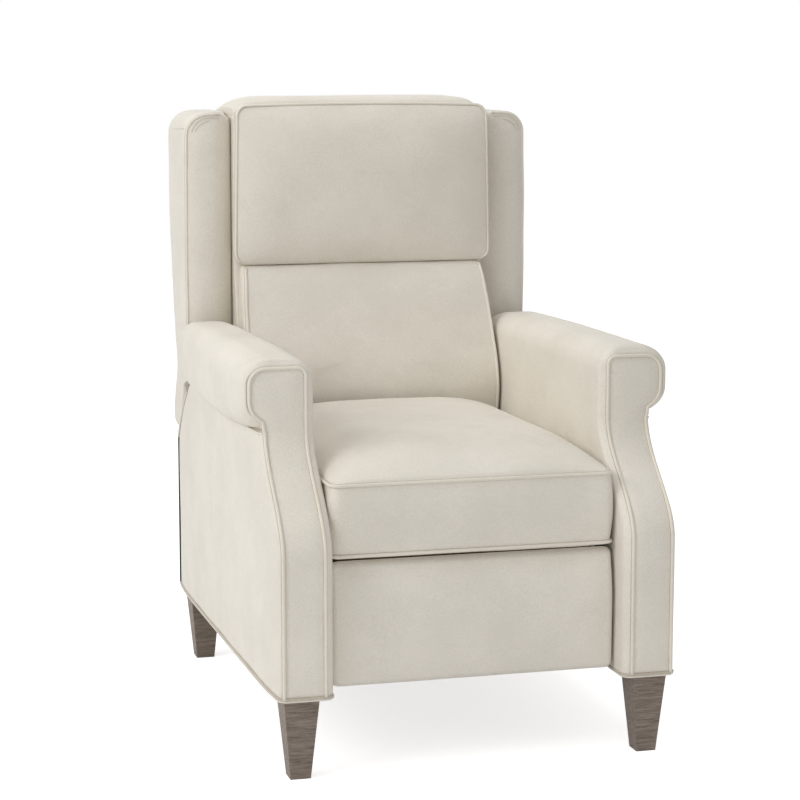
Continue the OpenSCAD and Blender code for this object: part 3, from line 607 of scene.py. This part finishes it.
def seat_cushion():
    low, high = CUSHION_LOW, CUSHION_HIGH
    outline = rounded(low[:2], high[:2], (15, 15, 14, 14), 7.0)
    base, top = low[2], low[2] + SEAT_SEAM_HIGH
    crown = high[2] - top

    def dome(flat):
        u = np.abs(flat[:, 0] - (low[0] + high[0]) / 2) / ((high[0] - low[0]) / 2)
        w = (flat[:, 1] - (low[1] + high[1]) / 2) / ((high[1] - low[1]) / 2)
        fore = np.where(w < 0, (1 - np.abs(w) ** 4).clip(0) ** 0.6, (1 - np.abs(w) ** 20).clip(0) ** 0.4)
        return top + crown * (1 - u ** 5).clip(0) ** 0.6 * fore

    span = SEAT_SEAM_HIGH - SEAT_SEAM_LOW

    def lay(u, w, d):
        """Fills out the front boxing, most above its middle."""
        t = min(max((d - base - SEAT_SEAM_LOW) / span, 0.0), 1.0)
        fore = min(max((low[1] + SEAT_BULGE_REACH - w) / SEAT_BULGE_REACH, 0.0), 1.0)
        return u, w - SEAT_BULGE * fore * math.sin(math.pi * t ** 1.7), d

    stations = [(0, 0.0, 9.0), (0, 1.6, 3.0), (0, SEAT_SEAM_LOW, 2.5)]
    for t in np.linspace(0.06, 0.94, 12):
        stations.append((0, SEAT_SEAM_LOW + span * t, 1.2 - 4.6 * math.sin(math.pi * t)))
    stations.append((1, 0.0, 2.5))
    obj, loops = slab(
        "seat_cushion_leather", outline, lambda f: np.full(len(f), base), dome, stations,
        cap_rings=24, power=2.2, lay=lay)
    seams = loops[2] + loops[-1]
    bottom = [v.index for v in obj.data.vertices if v.co.z < (base + 2) * MM]
    puff(obj, seams + bottom, 3.0, 4.0)
    soften(obj, 1.6, 90.0, 1, seams)
    ring = outline + inward(outline) * 0.4
    paths = [(np.column_stack([ring, np.full(len(ring), height)]), True)
             for height in (base + SEAT_SEAM_LOW, top)]
    finish_piece(obj, "seat", IVORY, ["seat_cushion"])
    middle = np.array([0.0, (low[1] + high[1]) / 2])
    sink = np.column_stack([np.sign(middle - outline) * 1.6, np.zeros(len(outline))])
    welt("seat_cushion_welts", "seat", paths, sink, ["seat_welts"])


def footrest():
    low, high = FOOT_LOW, FOOT_HIGH
    outline = rounded((low[0] + 1.5, low[2]), (high[0] - 1.5, high[2] + 1.0), (12, 12, 12, 12), 7.0)

    def face(flat):
        """Fullest in the middle, and falling back towards its top edge."""
        u = np.abs(flat[:, 0]) / high[0]
        w = (2 * flat[:, 1] - low[2] - high[2]) / (high[2] - low[2])
        swell = FOOT_SWELL * (1 - u ** 4).clip(0) * (1 - w ** 4).clip(0)
        return low[1] + FOOT_SWELL - swell + FOOT_FALL * (w + 0.15).clip(0) ** 2.6

    stations = rounding(FOOT_EDGE, [8, 25, 42, 58, 74, 90])
    stations += [(1, -10.0, 0.0), (1, -4.0, 2.0), (1, 0.0, 7.0)]
    obj, _ = slab(
        "footrest_leather", outline, face, lambda f: np.full(len(f), high[1]), stations, cap_rings=16)
    back = [v.index for v in obj.data.vertices if v.co.y > row([0, high[1] - 6, 0])[1]]
    puff(obj, back, 2.0, 2.0)
    soften(obj, 0.9, 80.0, 2, back)
    finish_piece(obj, "footrest", IVORY, ["footrest_pad"])


# Back

def head_pillow():
    low, high = PILLOW_LOW, PILLOW_HIGH
    outline = rounded((low[0], low[2]), (high[0], high[2]), (24, 24, 18, 18), 7.0)
    seam = PILLOW_SEAM_Y
    half = (high[2] - low[2]) / 2
    middle = (low[2] + high[2]) / 2

    def face(flat):
        """Swells from the seam and rounds back under its foot and over its top."""
        u = flat[:, 0] / high[0]
        w = (flat[:, 1] - middle) / half
        swell = ((1 - np.abs(u) ** 2.6).clip(0) * (1 - np.abs(w) ** 2.3).clip(0)) ** 0.7
        under = 1 - ((flat[:, 1] - low[2]) / 15.0).clip(0, 1)
        over = 1 - ((high[2] - flat[:, 1]) / 44.0).clip(0, 1)
        return (seam - PILLOW_SWELL * swell + PILLOW_UNDER * (1 - np.sqrt(1 - under ** 2))
                + PILLOW_OVER * over ** 2)

    def lay(u, w, d):
        """Arches the top edge, lets the boxing rise to the crest and widens the pad to its foot."""
        upper = max((w - middle) / half, 0.0)
        arch = 2.0 + 4.0 * (1 - (u / high[0]) ** 2)
        rise = PILLOW_RISE * min(max((d - seam) / (high[1] - seam), 0.0), 1.0)
        wide = 1 + 0.012 * (1 - (w - middle) / half)
        return u * wide, d, w + arch * upper + (rise + 2.0) * upper ** 5

    stations = [(0, 0.0, 1.5)] + [(t, 0.0, math.sin(math.pi * t)) for t in (0.14, 0.3, 0.5, 0.75)]
    stations += [(1, 0.0, 2.0)]
    obj, loops = slab(
        "head_pillow_leather", outline, face, lambda f: np.full(len(f), high[1]), stations,
        crown=(3.5, 0.0), cap_rings=20, power=4.0, lay=lay)
    back = [v.index for v in obj.data.vertices if v.co.y > row([0, high[1] - 3, 0])[1]]
    puff(obj, loops[0] + back, 3.0, 3.5)
    soften(obj, 1.4, 90.0, 3, loops[0])
    finish_piece(obj, "back", IVORY, ["head_pillow"])
    tuck = 3.2 * (1 - ((outline[:, 1] - low[2]) / 14.0).clip(0, 1))
    front = np.array([lay(u, w + t, d) for (u, w), t, d in zip(outline, tuck, face(outline))])
    lower = -1.0 * (outline[:, 1] > middle)
    sink = np.column_stack([np.zeros(len(outline)), np.full(len(outline), 1.2), lower])
    welt("head_pillow_welt", "back", [(front, True)], sink, ["pillow_welt"], PAD_WELT_R)


def lumbar_face(z):
    """Front of the lumbar pad: fullest just above the seat, then leaning back to the pillow."""
    heights = [414, 440, 480, 520, 540, 560, 580, 600, 640, 670, 700, 730, 745, 755, 766]
    depths = [690, 684, 676, 668, 666, 669, 675, 683, 700, 713, 726, 738, 745, 752, 762]
    return sum(np.interp(np.asarray(z) + d, heights, depths) for d in (-7, 0, 7)) / 3


def lumbar():
    low, high = LUMBAR_LOW, LUMBAR_HIGH
    outline = rounded((low[0], low[2]), (high[0], high[2] + 4.5), (12, 12, 9, 9), 7.0)

    def wide(w):
        return np.interp(w, [414, 600, 700, 768], [246.0, 246.0, 242.0, 236.0]) / high[0]

    def face(flat):
        u = np.abs(flat[:, 0]) / high[0]
        return lumbar_face(flat[:, 1]) + 3.0 * u ** 6 - 2.0 * (1 - u ** 2)

    stations = rounding(LUMBAR_EDGE, [5, 22, 40, 58, 75, 90], 0.8)
    stations += [(0.5, 0.0, 1.5), (0.8, 0.0, 0.5), (1, 0.0, 2.0)]
    obj, loops = slab(
        "lumbar_leather", outline, face, lambda f: frame_front_y(f[:, 1]), stations,
        crown=(2.0, 0.0), cap_rings=18, power=2.0, lay=lambda u, w, d: (u * wide(w), d, w))
    seam = loops[1]
    back = [i for loop in loops[-2:] for i in loop]
    puff(obj, seam + back, 2.5, 3.0)
    soften(obj, 1.2, 90.0, 4, seam)
    points = ring_points(obj, seam)
    finish_piece(obj, "back", IVORY, ["lumbar_pad"])
    paths = []
    for side in (-1, 1):
        outer = points[:, 0] * side > 222
        chosen = points[outer & (points[:, 2] > low[2] + 20) & (points[:, 2] < high[2] - 1)]
        chosen = chosen[np.argsort(chosen[:, 2])]
        paths.append((chosen + [side * 0.5, -0.8, 0], False))
    welt("lumbar_side_welts", "back", paths, [0, 1.8, 0], ["lumbar_welts"])


def wing_outline():
    """Wing from the front, anticlockwise, with one corner after the other from the inner foot on."""
    low, high = WING_LOW, WING_HIGH
    inner, outer, foot = WING_IN, high[0] + 1.0, low[2]
    top = high[2] - 12.5
    return spread(join(
        arc((inner + 14, foot + 14), 14, 180, 270, 6), arc((outer - 14, foot + 14), 14, 270, 360, 6),
        arc((outer - WING_ROUND, top - WING_ROUND), WING_ROUND, 0, 90, 14),
        arc((inner + 5, top - 4), 5, 90, 180, 4)), 6.0)


def wing_face(u, w):
    """Front of a wing: a roll that falls away to the inner side and, less, to the outer one."""
    t = ((u - WING_IN) / (WING_HIGH[0] - WING_IN)).clip(0, 1)
    roll = 19.0 * (1 - t / 0.5).clip(0, 1) ** 2.0 + 9.0 * ((t - 0.5) / 0.5).clip(0, 1) ** 2.4
    foot = np.interp(w, [437, 465, 500, 536, 556], [125, 114, 96, 79, 0])
    return WING_FACE + np.maximum(roll, foot)


def wing(side):
    """One wing; returns its front seam and the folds sewn at its top corner."""
    name = hand(side)
    outline = wing_outline()
    inner, outer = WING_IN, WING_HIGH[0]
    top = outline[:, 1].max()

    def lay(u, w, d):
        """Swells the outer side and rounds the inner top corner at the front."""
        rise = min(max((w - 560) / 460, 0), 1)
        full = 4.0 * min(rise * 8, 1) + 2.0 * math.sin(math.pi * rise)
        swell = full * max((u - inner) / (outer - inner), 0)
        near = min(max((inner + 30 - u) / 30, 0), 1)
        drop = 30 * (1 - math.sqrt(max(1 - near ** 2, 0))) * min(max((w - top + 70) / 70, 0), 1)
        fade = min(max(1 - (d - WING_FACE) / 75, 0), 1)
        back = min(max((d - WING_FACE) / 220, 0), 1)
        across = u + swell - WING_TAPER * back ** 1.5 * (u > inner + 40)
        return side * across, d, w - drop * fade ** 0.7

    gap = WING_BACK_GAP
    stations = rounding(WING_EDGE, [0, 30, 60, 90])
    stations += [(t, WING_EDGE * (1 - t) - gap * t, 0.0) for t in np.linspace(0.06, 0.94, 12)]
    stations += [(1, -gap * (1 - math.sin(a)), gap * (1 - math.cos(a))) for a in np.radians([0, 45, 90])]
    obj, loops = slab(
        name + "_wing_leather", outline, lambda f: wing_face(f[:, 0], f[:, 1]),
        lambda f: shell_y(f[:, 1]) - 14.0, stations, crown=(2.0, 0.0), cap_rings=14, lay=lay)
    soften(obj, 1.0, 80.0, 5 + side)
    seam = ring_points(obj, loops[1])
    finish_piece(obj, "back", IVORY, [name + "_wing"])
    chosen = seam[(seam[:, 0] * side > inner + 20) & (seam[:, 2] > 566)]
    order = np.argsort(np.arctan2(chosen[:, 2] - 800, chosen[:, 0] * side - inner))

    def on_face(points):
        flat = np.array(points, float)
        depth = wing_face(flat[:, 0], flat[:, 1]) - 1.4
        return np.array([lay(u, w, d) for (u, w), d in zip(flat, depth)])

    corner = (outer - WING_ROUND, top - WING_ROUND)
    upper_fold = join(arc(corner, WING_FOLD_R, 8, 90, 16),
                      line((outer - 46, top - 11), (inner + 26, top - 12), 4))
    lower_fold = arc((corner[0] - 4, corner[1] - 6), WING_FOLD_R, 22, 84, 10)
    side_fold = np.array([
        (side * (outer + 3.7 - WING_TAPER * ((21 + 15 * k) / 220) ** 1.5), 822 + 15 * k, top - 31 - 0.6 * k)
        for k in range(11)])
    return chosen[order], [on_face(upper_fold), on_face(lower_fold), side_fold]


def gusset(side):
    """Leather over the outer side of the back frame, between the pads and the wing."""
    heights = np.linspace(470, 1052, 20)
    outline = spread(np.concatenate([
        np.column_stack([np.interp(heights, [470, 765], [872, 860]), heights]),
        np.column_stack([frame_front_y(heights) - 1.5, heights])[::-1]]), 9.0)
    stations = [(0, 0.0, 1.0), (0, 2.0, 0.0), (1, -2.0, 0.0), (1, 0.0, 1.0)]
    obj, _ = slab(
        hand(side) + "_back_gusset", outline, lambda f: np.full(len(f), GUSSET_IN),
        lambda f: np.full(len(f), ARM_IN - 3.6), stations, cap_rings=5, lay=lambda u, w, d: (side * d, u, w))
    finish_piece(obj, "back", IVORY)


def wings():
    cords, folds = [], []
    for side in (-1, 1):
        seam, lines = wing(side)
        gusset(side)
        cords.append((seam, False))
        folds += lines
    welt("wing_front_welts", "back", cords, [0, 1.6, 0], ["wing_welts"], PAD_WELT_R)
    # The fold lines are real seams, drawn darker as painted shade in their creases.
    stitches("wing_stitches", "back", folds)


def crest_side():
    """Side outline of the crest, over its top from front to rear."""
    top = CREST_HIGH[2]
    front, rear = CREST_LOW[1], CREST_HIGH[1]
    return spread(np.array([
        [front + 1, top - 54], [front + 1, top - 24], [front + 3, top - 13], [front + 9, top - 5],
        [front + 20, top - 1], [front + 38, top], [front + 90, top], [front + 125, top - 3],
        [front + 160, top - 9], [front + 190, top - 18], [front + 214, top - 32], [rear - 1, top - 46],
        [rear, top - 54]]), 8.0, closed=False)


def crest():
    profile = crest_side()
    foot, half = CREST_LOW[2], CREST_HIGH[0]
    across = np.concatenate([-half * np.sin(np.linspace(math.pi / 2, 0, 24)),
                             half * np.sin(np.linspace(0, math.pi / 2, 24))[1:]])
    verts, faces = [], []
    for x in across:
        rise = np.interp(abs(x), [0, 160, 187, 200, 215, 226, 235, 243],
                         [1, 1, 0.985, 0.96, 0.92, 0.85, 0.75, 0.6])
        for y, z in profile:
            verts.append((x, y, foot + (z - foot) * rise))
    n = len(profile)
    for i in range(len(across) - 1):
        for j in range(n):
            k = (j + 1) % n
            faces.append((i * n + j, (i + 1) * n + j, (i + 1) * n + k, i * n + k))
    faces.append(list(range(n)))
    faces.append([(len(across) - 1) * n + j for j in range(n)][::-1])
    obj = mesh_object("back_crest_leather", np.array(verts), faces)
    soften(obj, 1.0, 80.0, 9)
    finish_piece(obj, "back", IVORY, ["back_crest"])


def outside_back():
    low, high = SHELL_LOW, SHELL_HIGH
    outline = rounded((low[0] + 7, low[2]), (high[0] - 7, high[2]), (10, 10, 40, 40), 12.0)
    stations = [(0, 0.0, 6.0), (0, 3.0, 1.0), (1, -6.0, 0.0), (1, -2.0, 1.5), (1, 0.0, 5.0)]
    obj, loops = slab(
        "outside_back_leather", outline, lambda f: shell_y(f[:, 1]) - 15.0, lambda f: shell_y(f[:, 1]),
        stations, cap_rings=24)
    soften(obj, 0.8, 110.0, 10)
    seam = ring_points(obj, loops[-2])
    finish_piece(obj, "back", IVORY, ["outside_back"])
    welt("outside_back_welt", "back", [(seam * [0.992, 1, 1], True)], [0, -1.2, 0], (), SHELL_WELT_R)


# Arms

def arm_path(section):
    """Arm section from its inner foot over the roll to its outer foot."""
    side, top, roll, corner, crown_r, foot_x = section
    inner = ARM_IN + side
    upper = ARM_TOP - top
    outer = ROLL_OUT - roll
    turn = math.degrees(math.acos((NOTCH_X - ROLL_OUT + ROLL_R) / ROLL_R))
    roll_mid = NOTCH_Z + ROLL_R * math.sin(math.radians(turn))
    notch = arc((ROLL_OUT - ROLL_R, roll_mid), ROLL_R - roll, 0, -turn, 12)
    return np.concatenate([
        line((inner, BASE_Z), (inner, upper - corner - 4), 64),
        arc((inner + corner, upper - corner), corner, 180, 90, 9),
        line((inner + corner + 3, upper), (outer - crown_r - 3, upper), 4),
        arc((outer - crown_r, upper - crown_r), crown_r, 90, 0, 12),
        notch,
        arc((foot_x + 5, NOTCH_Z - 12), 5, 130, 180, 4),
        line((foot_x, NOTCH_Z - 20), (foot_x, BASE_Z), 50)])


def arm_outline(section):
    """Arm section closed along its foot, anticlockwise."""
    foot = line((section[-1], BASE_Z), (ARM_IN + section[0], BASE_Z), 12)[1:-1]
    return np.concatenate([arm_path(section), foot])[::-1]


def arm_spine(flat):
    """Middle of an arm's section at each height."""
    z = flat[:, 1].clip(BASE_Z + 24, ARM_TOP - 50)
    return np.stack([np.interp(z, [540, 600], [(ARM_IN + ARM_OUT) / 2, 306]), z], 1)


def arm_lay(side, u, w, y):
    """Narrows the roll and lowers its top towards the rear, and lets its underside sag."""
    back = min(max((y - 260) / (ROLL_END - 260), 0.0), 1.0)
    over = min(max((u - ARM_OUT) / (ROLL_OUT - ARM_OUT), 0.0), 1.0)
    high = min(max((w - 600) / 80, 0.0), 1.0)
    sag = np.interp(y, [131, 170, 210, 280, 350, 500, 650, 720, 775, 790],
                    [0.0, 0.33, 0.58, 0.83, 0.96, 1.0, 0.98, 0.78, 0.58, 0.5])
    low = np.interp(w, [400, 540, 590, 655], [0.0, 1.0, 1.0, 0.0]) * min(max((u - 296) / 36, 0.0), 1.0)
    full = ROLL_FULL * sag * over * np.interp(w, [560, 600, 640, 676], [0.6, 1.0, 1.0, 0.0])
    fall = ARM_FALL * back ** 2.4
    wide = full + ROLL_WIDER * over * (1 - back) - ROLL_TAPER * back ** 1.3 * over
    return side * (u + wide), y, w - ROLL_SAG * sag * low - fall * high


def arm_pad(side):
    """Arm leather: its insets are shares of the way from the whole section to the front panel's."""
    outline = arm_outline(WHOLE_ARM)
    stations = [(0, 4.0, 1.08), (0, 1.0, 1.0)]
    for degrees, dent in ((12, 0.0), (25, 0.0), (34, 0.10), (44, 0.0), (58, 0.0), (74, 0.0), (90, 0.0)):
        a = math.radians(degrees)
        stations.append((0, FRONT_EDGE * (1 - math.cos(a)), 1 - math.sin(a) + dent))
    for t in np.linspace(0.04, 0.97, 26):
        stations.append((t, FRONT_EDGE * (1 - t) - REAR_EDGE * t, 0.0))
    for degrees in (30, 60, 90):
        a = math.radians(degrees)
        stations.append((1, -REAR_EDGE * (1 - math.sin(a)), 0.7 * (1 - math.cos(a))))
    obj, _ = slab(
        hand(side) + "_arm_leather", outline, lambda f: front_y(f[:, 1]), lambda f: arm_rear_y(f[:, 1]),
        stations, insets=arm_outline(ARM_FRONT) - outline, spine=arm_spine, cap_rings=4,
        lay=lambda u, w, d: arm_lay(side, u, w, d), gather=0.85)
    soften(obj, 1.3, 120.0, 12 + side)
    finish_piece(obj, "base", IVORY, [hand(side) + "_arm_pad"])


def front_panel(side):
    outline = arm_outline(ARM_FRONT)
    stations = [(0, 1.2, 0.6), (0, 4.0, 0.0), (0, 9.0, 0.0)]
    obj, _ = slab(
        hand(side) + "_front_panel_leather", outline, lambda f: front_y(f[:, 1]),
        lambda f: front_y(f[:, 1]) + 9.0, stations, crown=(4.2, 0.0), spine=arm_spine,
        cap_rings=12, power=3.2, lay=lambda u, w, d: (side * u, d, w))
    soften(obj, 0.7, 70.0, 14 + side)
    finish_piece(obj, "base", IVORY, [hand(side) + "_front_panel"])


def outside_panel(side):
    top = NOTCH_Z - 10
    front = [(front_y(z) + 0.5, z) for z in np.linspace(top, BASE_Z, 40)]
    outline = spread(join(
        np.array(front), arc((10, BASE_Z + 2), 2, 190, 270, 3),
        arc((ARM_LEN - 6, BASE_Z + 6), 6, 270, 360, 4),
        np.array([(ARM_LEN, REAR_EDGE_Z), (SLANT_Y, SLANT_Z), (SLANT_Y - 6, top)])), 9.0)

    def face(flat):
        w = ((flat[:, 1] - BASE_Z) / (top - BASE_Z)).clip(0, 1)
        return panel_x(flat[:, 0], flat[:, 1], PANEL_SHARE + 0.2 * np.sin(np.pi * w))

    def spine(flat):
        z = np.full(len(flat), (BASE_Z + top) / 2)
        return np.stack([flat[:, 0].clip(190, 700), z], 1)

    stations = [(0, 0.0, 0.5), (1, -6.0, 0.0), (1, -2.5, 1.2), (1, -0.6, 3.6), (1, 0.0, 7.0)]
    obj, _ = slab(
        hand(side) + "_outside_panel_leather", outline, lambda f: np.full(len(f), ARM_CORE), face,
        stations, spine=spine, cap_rings=26, lay=lambda u, w, d: (side * d, u, w))
    soften(obj, 0.9, 110.0, 16 + side)
    finish_piece(obj, "base", IVORY, [hand(side) + "_outside_panel"])


def panel_x(y, z, share=PANEL_SHARE):
    """Outer face of the side panel: it rounds in to the front and rear edges."""
    fore = front_y(z)
    t = ((np.asarray(y, float) - fore) / (ARM_LEN - fore)).clip(0, 1)
    return ARM_OUT + PANEL_LIFT + (PANEL_SWELL - PANEL_LIFT) * share * (1 - np.abs(2 * t - 1) ** 7)


def hem(side):
    """Foot of an arm, from its inner side round the front to the rear of the outer side."""
    run = np.linspace(9, ARM_LEN - 6, 60)
    plan = spread(np.concatenate([
        line((ARM_IN + 1, 120), (ARM_IN + 1, 20), 6), arc((ARM_IN + 16, 13.5), 15, 180, 270, 7),
        line((ARM_IN + 22, -1.5), (ARM_CORE - 6, -1.5), 6), arc((ARM_CORE - 1, 9), 10.5, 270, 355, 6),
        np.column_stack([panel_x(run, BASE_Z), run])]), 7.0, closed=False)
    low = BASE_Z + 0.3 - 2.0 * np.exp(-(plan[:, 1] / 170) ** 2)
    return np.column_stack([plan[:, 0] * side, plan[:, 1], low])


def arm_welts(side):
    """Welts of an arm's front panel, rear slant, upper front edge and foot, and a black lining cord down the
    rear edge of its outer side.
    """
    panel = arm_path(ARM_FRONT)
    front = spread(np.stack([panel[:, 0], front_y(panel[:, 1]) - 0.5, panel[:, 1]], 1), 6.0, closed=False)
    height = np.linspace(REAR_EDGE_Z, SLANT_Z - 16, 14)
    depth = np.interp(height, [REAR_EDGE_Z, SLANT_Z], [ARM_LEN, SLANT_Y]) - 2
    slant = np.column_stack([panel_x(depth, height) + 0.8, depth, height])
    run = np.linspace(SWEEP_D + 9, 262, 14)
    under = np.column_stack([panel_x(run, NOTCH_Z - 13.5) + 0.3, run, np.full(14, NOTCH_Z - 13.5)])
    under = np.concatenate([[(ARM_CORE + 5, SWEEP_D + 1, NOTCH_Z - 11)], under])
    mirror = np.array([side, 1, 1])
    name = hand(side)
    welt(name + "_arm_front_welt", "base", [(front * mirror, False)], [0, 1.8, 0], [name + "_arm_welts"])
    slim = [(slant * mirror, False), (under * mirror, False)]
    welt(name + "_arm_edge_welts", "base", slim, [-1.2 * side, 0, 0], (), EDGE_WELT_R)
    welt(name + "_arm_hem_welt", "base", [(hem(side), False)], [0, 0, 2.4], (), EDGE_WELT_R)
    # A black lining cord down the rear edge of the outer side.
    x = side * (ARM_OUT + PANEL_LIFT)
    edge = line((x, ARM_LEN - 0.4, BASE_Z + 4), (x, ARM_LEN - 0.4, REAR_EDGE_Z + 2), 24)
    black_edge_cord = tube(name + "_rear_edge_black_cord", [(edge, False)], BLACK_CORD_R, 8)
    finish_piece(black_edge_cord, "base", LINING, levels=0)


def arms():
    for side in (-1, 1):
        arm_pad(side)
        front_panel(side)
        outside_panel(side)
        arm_welts(side)


# Frame parts that keep their CAD shape

NODE_FINISHES = {
    "frame_wood": (FRAME_WOOD, ["left_arm_frame", "right_arm_frame", "front_rail", "rear_rail",
                                "seat_side_rails", "seat_cross_rails", "footrest_board",
                                "back_side_frames", "back_rails"]),
    "leg_wood": (LEG_WOOD, ["front_left_leg", "front_right_leg", "rear_left_leg", "rear_right_leg"]),
    "black_lining": (LINING, ["rear_dust_panel", "rear_dust_covers", "seat_deck"]),
    "link_steel": (LINK_STEEL, ["base_plates", "front_swing_links", "rear_swing_links", "seat_plates",
                                "torque_tube", "drive_cranks", "lift_links", "reach_links",
                                "steering_links", "footrest_brackets", "back_brackets"]),
    "spring_steel": (SPRING_STEEL, ["seat_springs"]),
    "bolt_steel": (BOLT_STEEL, ["leg_plates", "leg_bolts", "plate_screws"]),
}


def frame_parts():
    for material, names in NODE_FINISHES.values():
        for name in names:
            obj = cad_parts[name]
            obj.data.materials.clear()
            obj.data.materials.append(material)
    for name in NODE_FINISHES["leg_wood"][1]:
        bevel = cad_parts[name].modifiers.new("Eased edges", "BEVEL")
        bevel.width = LEG_BEVEL * MM
        bevel.segments = 3
        bevel.limit_method = "ANGLE"


# Stage

def background_rays(tree):
    """1 where a ray shows the background: to the camera, in gloss or through glass."""
    rays = tree.nodes.new("ShaderNodeLightPath")
    shown = rays.outputs["Is Camera Ray"]
    for name in ("Is Glossy Ray", "Is Transmission Ray"):
        either = tree.nodes.new("ShaderNodeMath")
        either.operation = "MAXIMUM"
        tree.links.new(shown, either.inputs[0])
        tree.links.new(rays.outputs[name], either.inputs[1])
        shown = either.outputs[0]
    return shown


def studio_world():
    """Even light, and white where a ray shows the background."""
    world = bpy.data.worlds.new("studio")
    bpy.context.scene.world = world
    world.use_nodes = True
    tree = world.node_tree
    back = tree.nodes["Background"]
    back.inputs["Color"].default_value = (1.0, 1.0, 1.0, 1.0)
    level = tree.nodes.new("ShaderNodeMapRange")
    tree.links.new(background_rays(tree), level.inputs["Value"])
    level.inputs["To Min"].default_value = WORLD_LEVEL
    level.inputs["To Max"].default_value = 1.0
    tree.links.new(level.outputs["Result"], back.inputs["Strength"])


def studio_floor():
    """Pale floor that keeps the chair's shadow and shows white around it."""
    mesh = bpy.data.meshes.new("floor")
    corners = [(x * FLOOR_HALF, y * FLOOR_HALF, 0) for x, y in ((-1, -1), (1, -1), (1, 1), (-1, 1))]
    mesh.from_pydata(corners, [], [(0, 1, 2, 3)])
    floor = bpy.data.objects.new("floor", mesh)
    bpy.context.scene.collection.objects.link(floor)
    material = bpy.data.materials.new("floor")
    material.use_nodes = True
    tree = material.node_tree
    plain = tree.nodes["Principled BSDF"]
    plain.inputs["Base Color"].default_value = (0.8, 0.8, 0.8, 1.0)
    plain.inputs["Roughness"].default_value = 0.9
    glow = tree.nodes.new("ShaderNodeEmission")
    glow.inputs["Strength"].default_value = FLOOR_GLOW
    seen = tree.nodes.new("ShaderNodeMixShader")
    tree.links.new(background_rays(tree), seen.inputs["Fac"])
    black = tree.nodes.new("ShaderNodeEmission")
    black.inputs["Strength"].default_value = 0.0
    tree.links.new(black.outputs["Emission"], seen.inputs[1])
    tree.links.new(glow.outputs["Emission"], seen.inputs[2])
    total = tree.nodes.new("ShaderNodeAddShader")
    tree.links.new(plain.outputs["BSDF"], total.inputs[0])
    tree.links.new(seen.outputs["Shader"], total.inputs[1])
    tree.links.new(total.outputs["Shader"], tree.nodes["Material Output"].inputs["Surface"])
    mesh.materials.append(material)


def area_light(name, place, target, size, power):
    data = bpy.data.lights.new(name, "AREA")
    data.shape = "DISK"
    data.size = size
    data.energy = power
    lamp = bpy.data.objects.new(name, data)
    bpy.context.scene.collection.objects.link(lamp)
    lamp.location = place
    lamp.rotation_euler = (Vector(target) - Vector(place)).to_track_quat("-Z", "Y").to_euler()


def camera():
    data = bpy.data.cameras.new("camera")
    data.lens = LENS
    data.sensor_width = SENSOR
    view = bpy.data.objects.new("camera", data)
    bpy.context.scene.collection.objects.link(view)
    view.location = CAMERA_PLACE
    view.rotation_euler = (math.radians(CAMERA_TILT), 0.0, math.radians(CAMERA_TURN))
    bpy.context.scene.camera = view


camera()
studio_world()
studio_floor()
for lamp in LAMPS:
    area_light(*lamp)
bpy.context.scene.view_settings.view_transform = "Standard"

frame_parts()
seat_cushion()
footrest()
head_pillow()
lumbar()
wings()
crest()
outside_back()
arms()
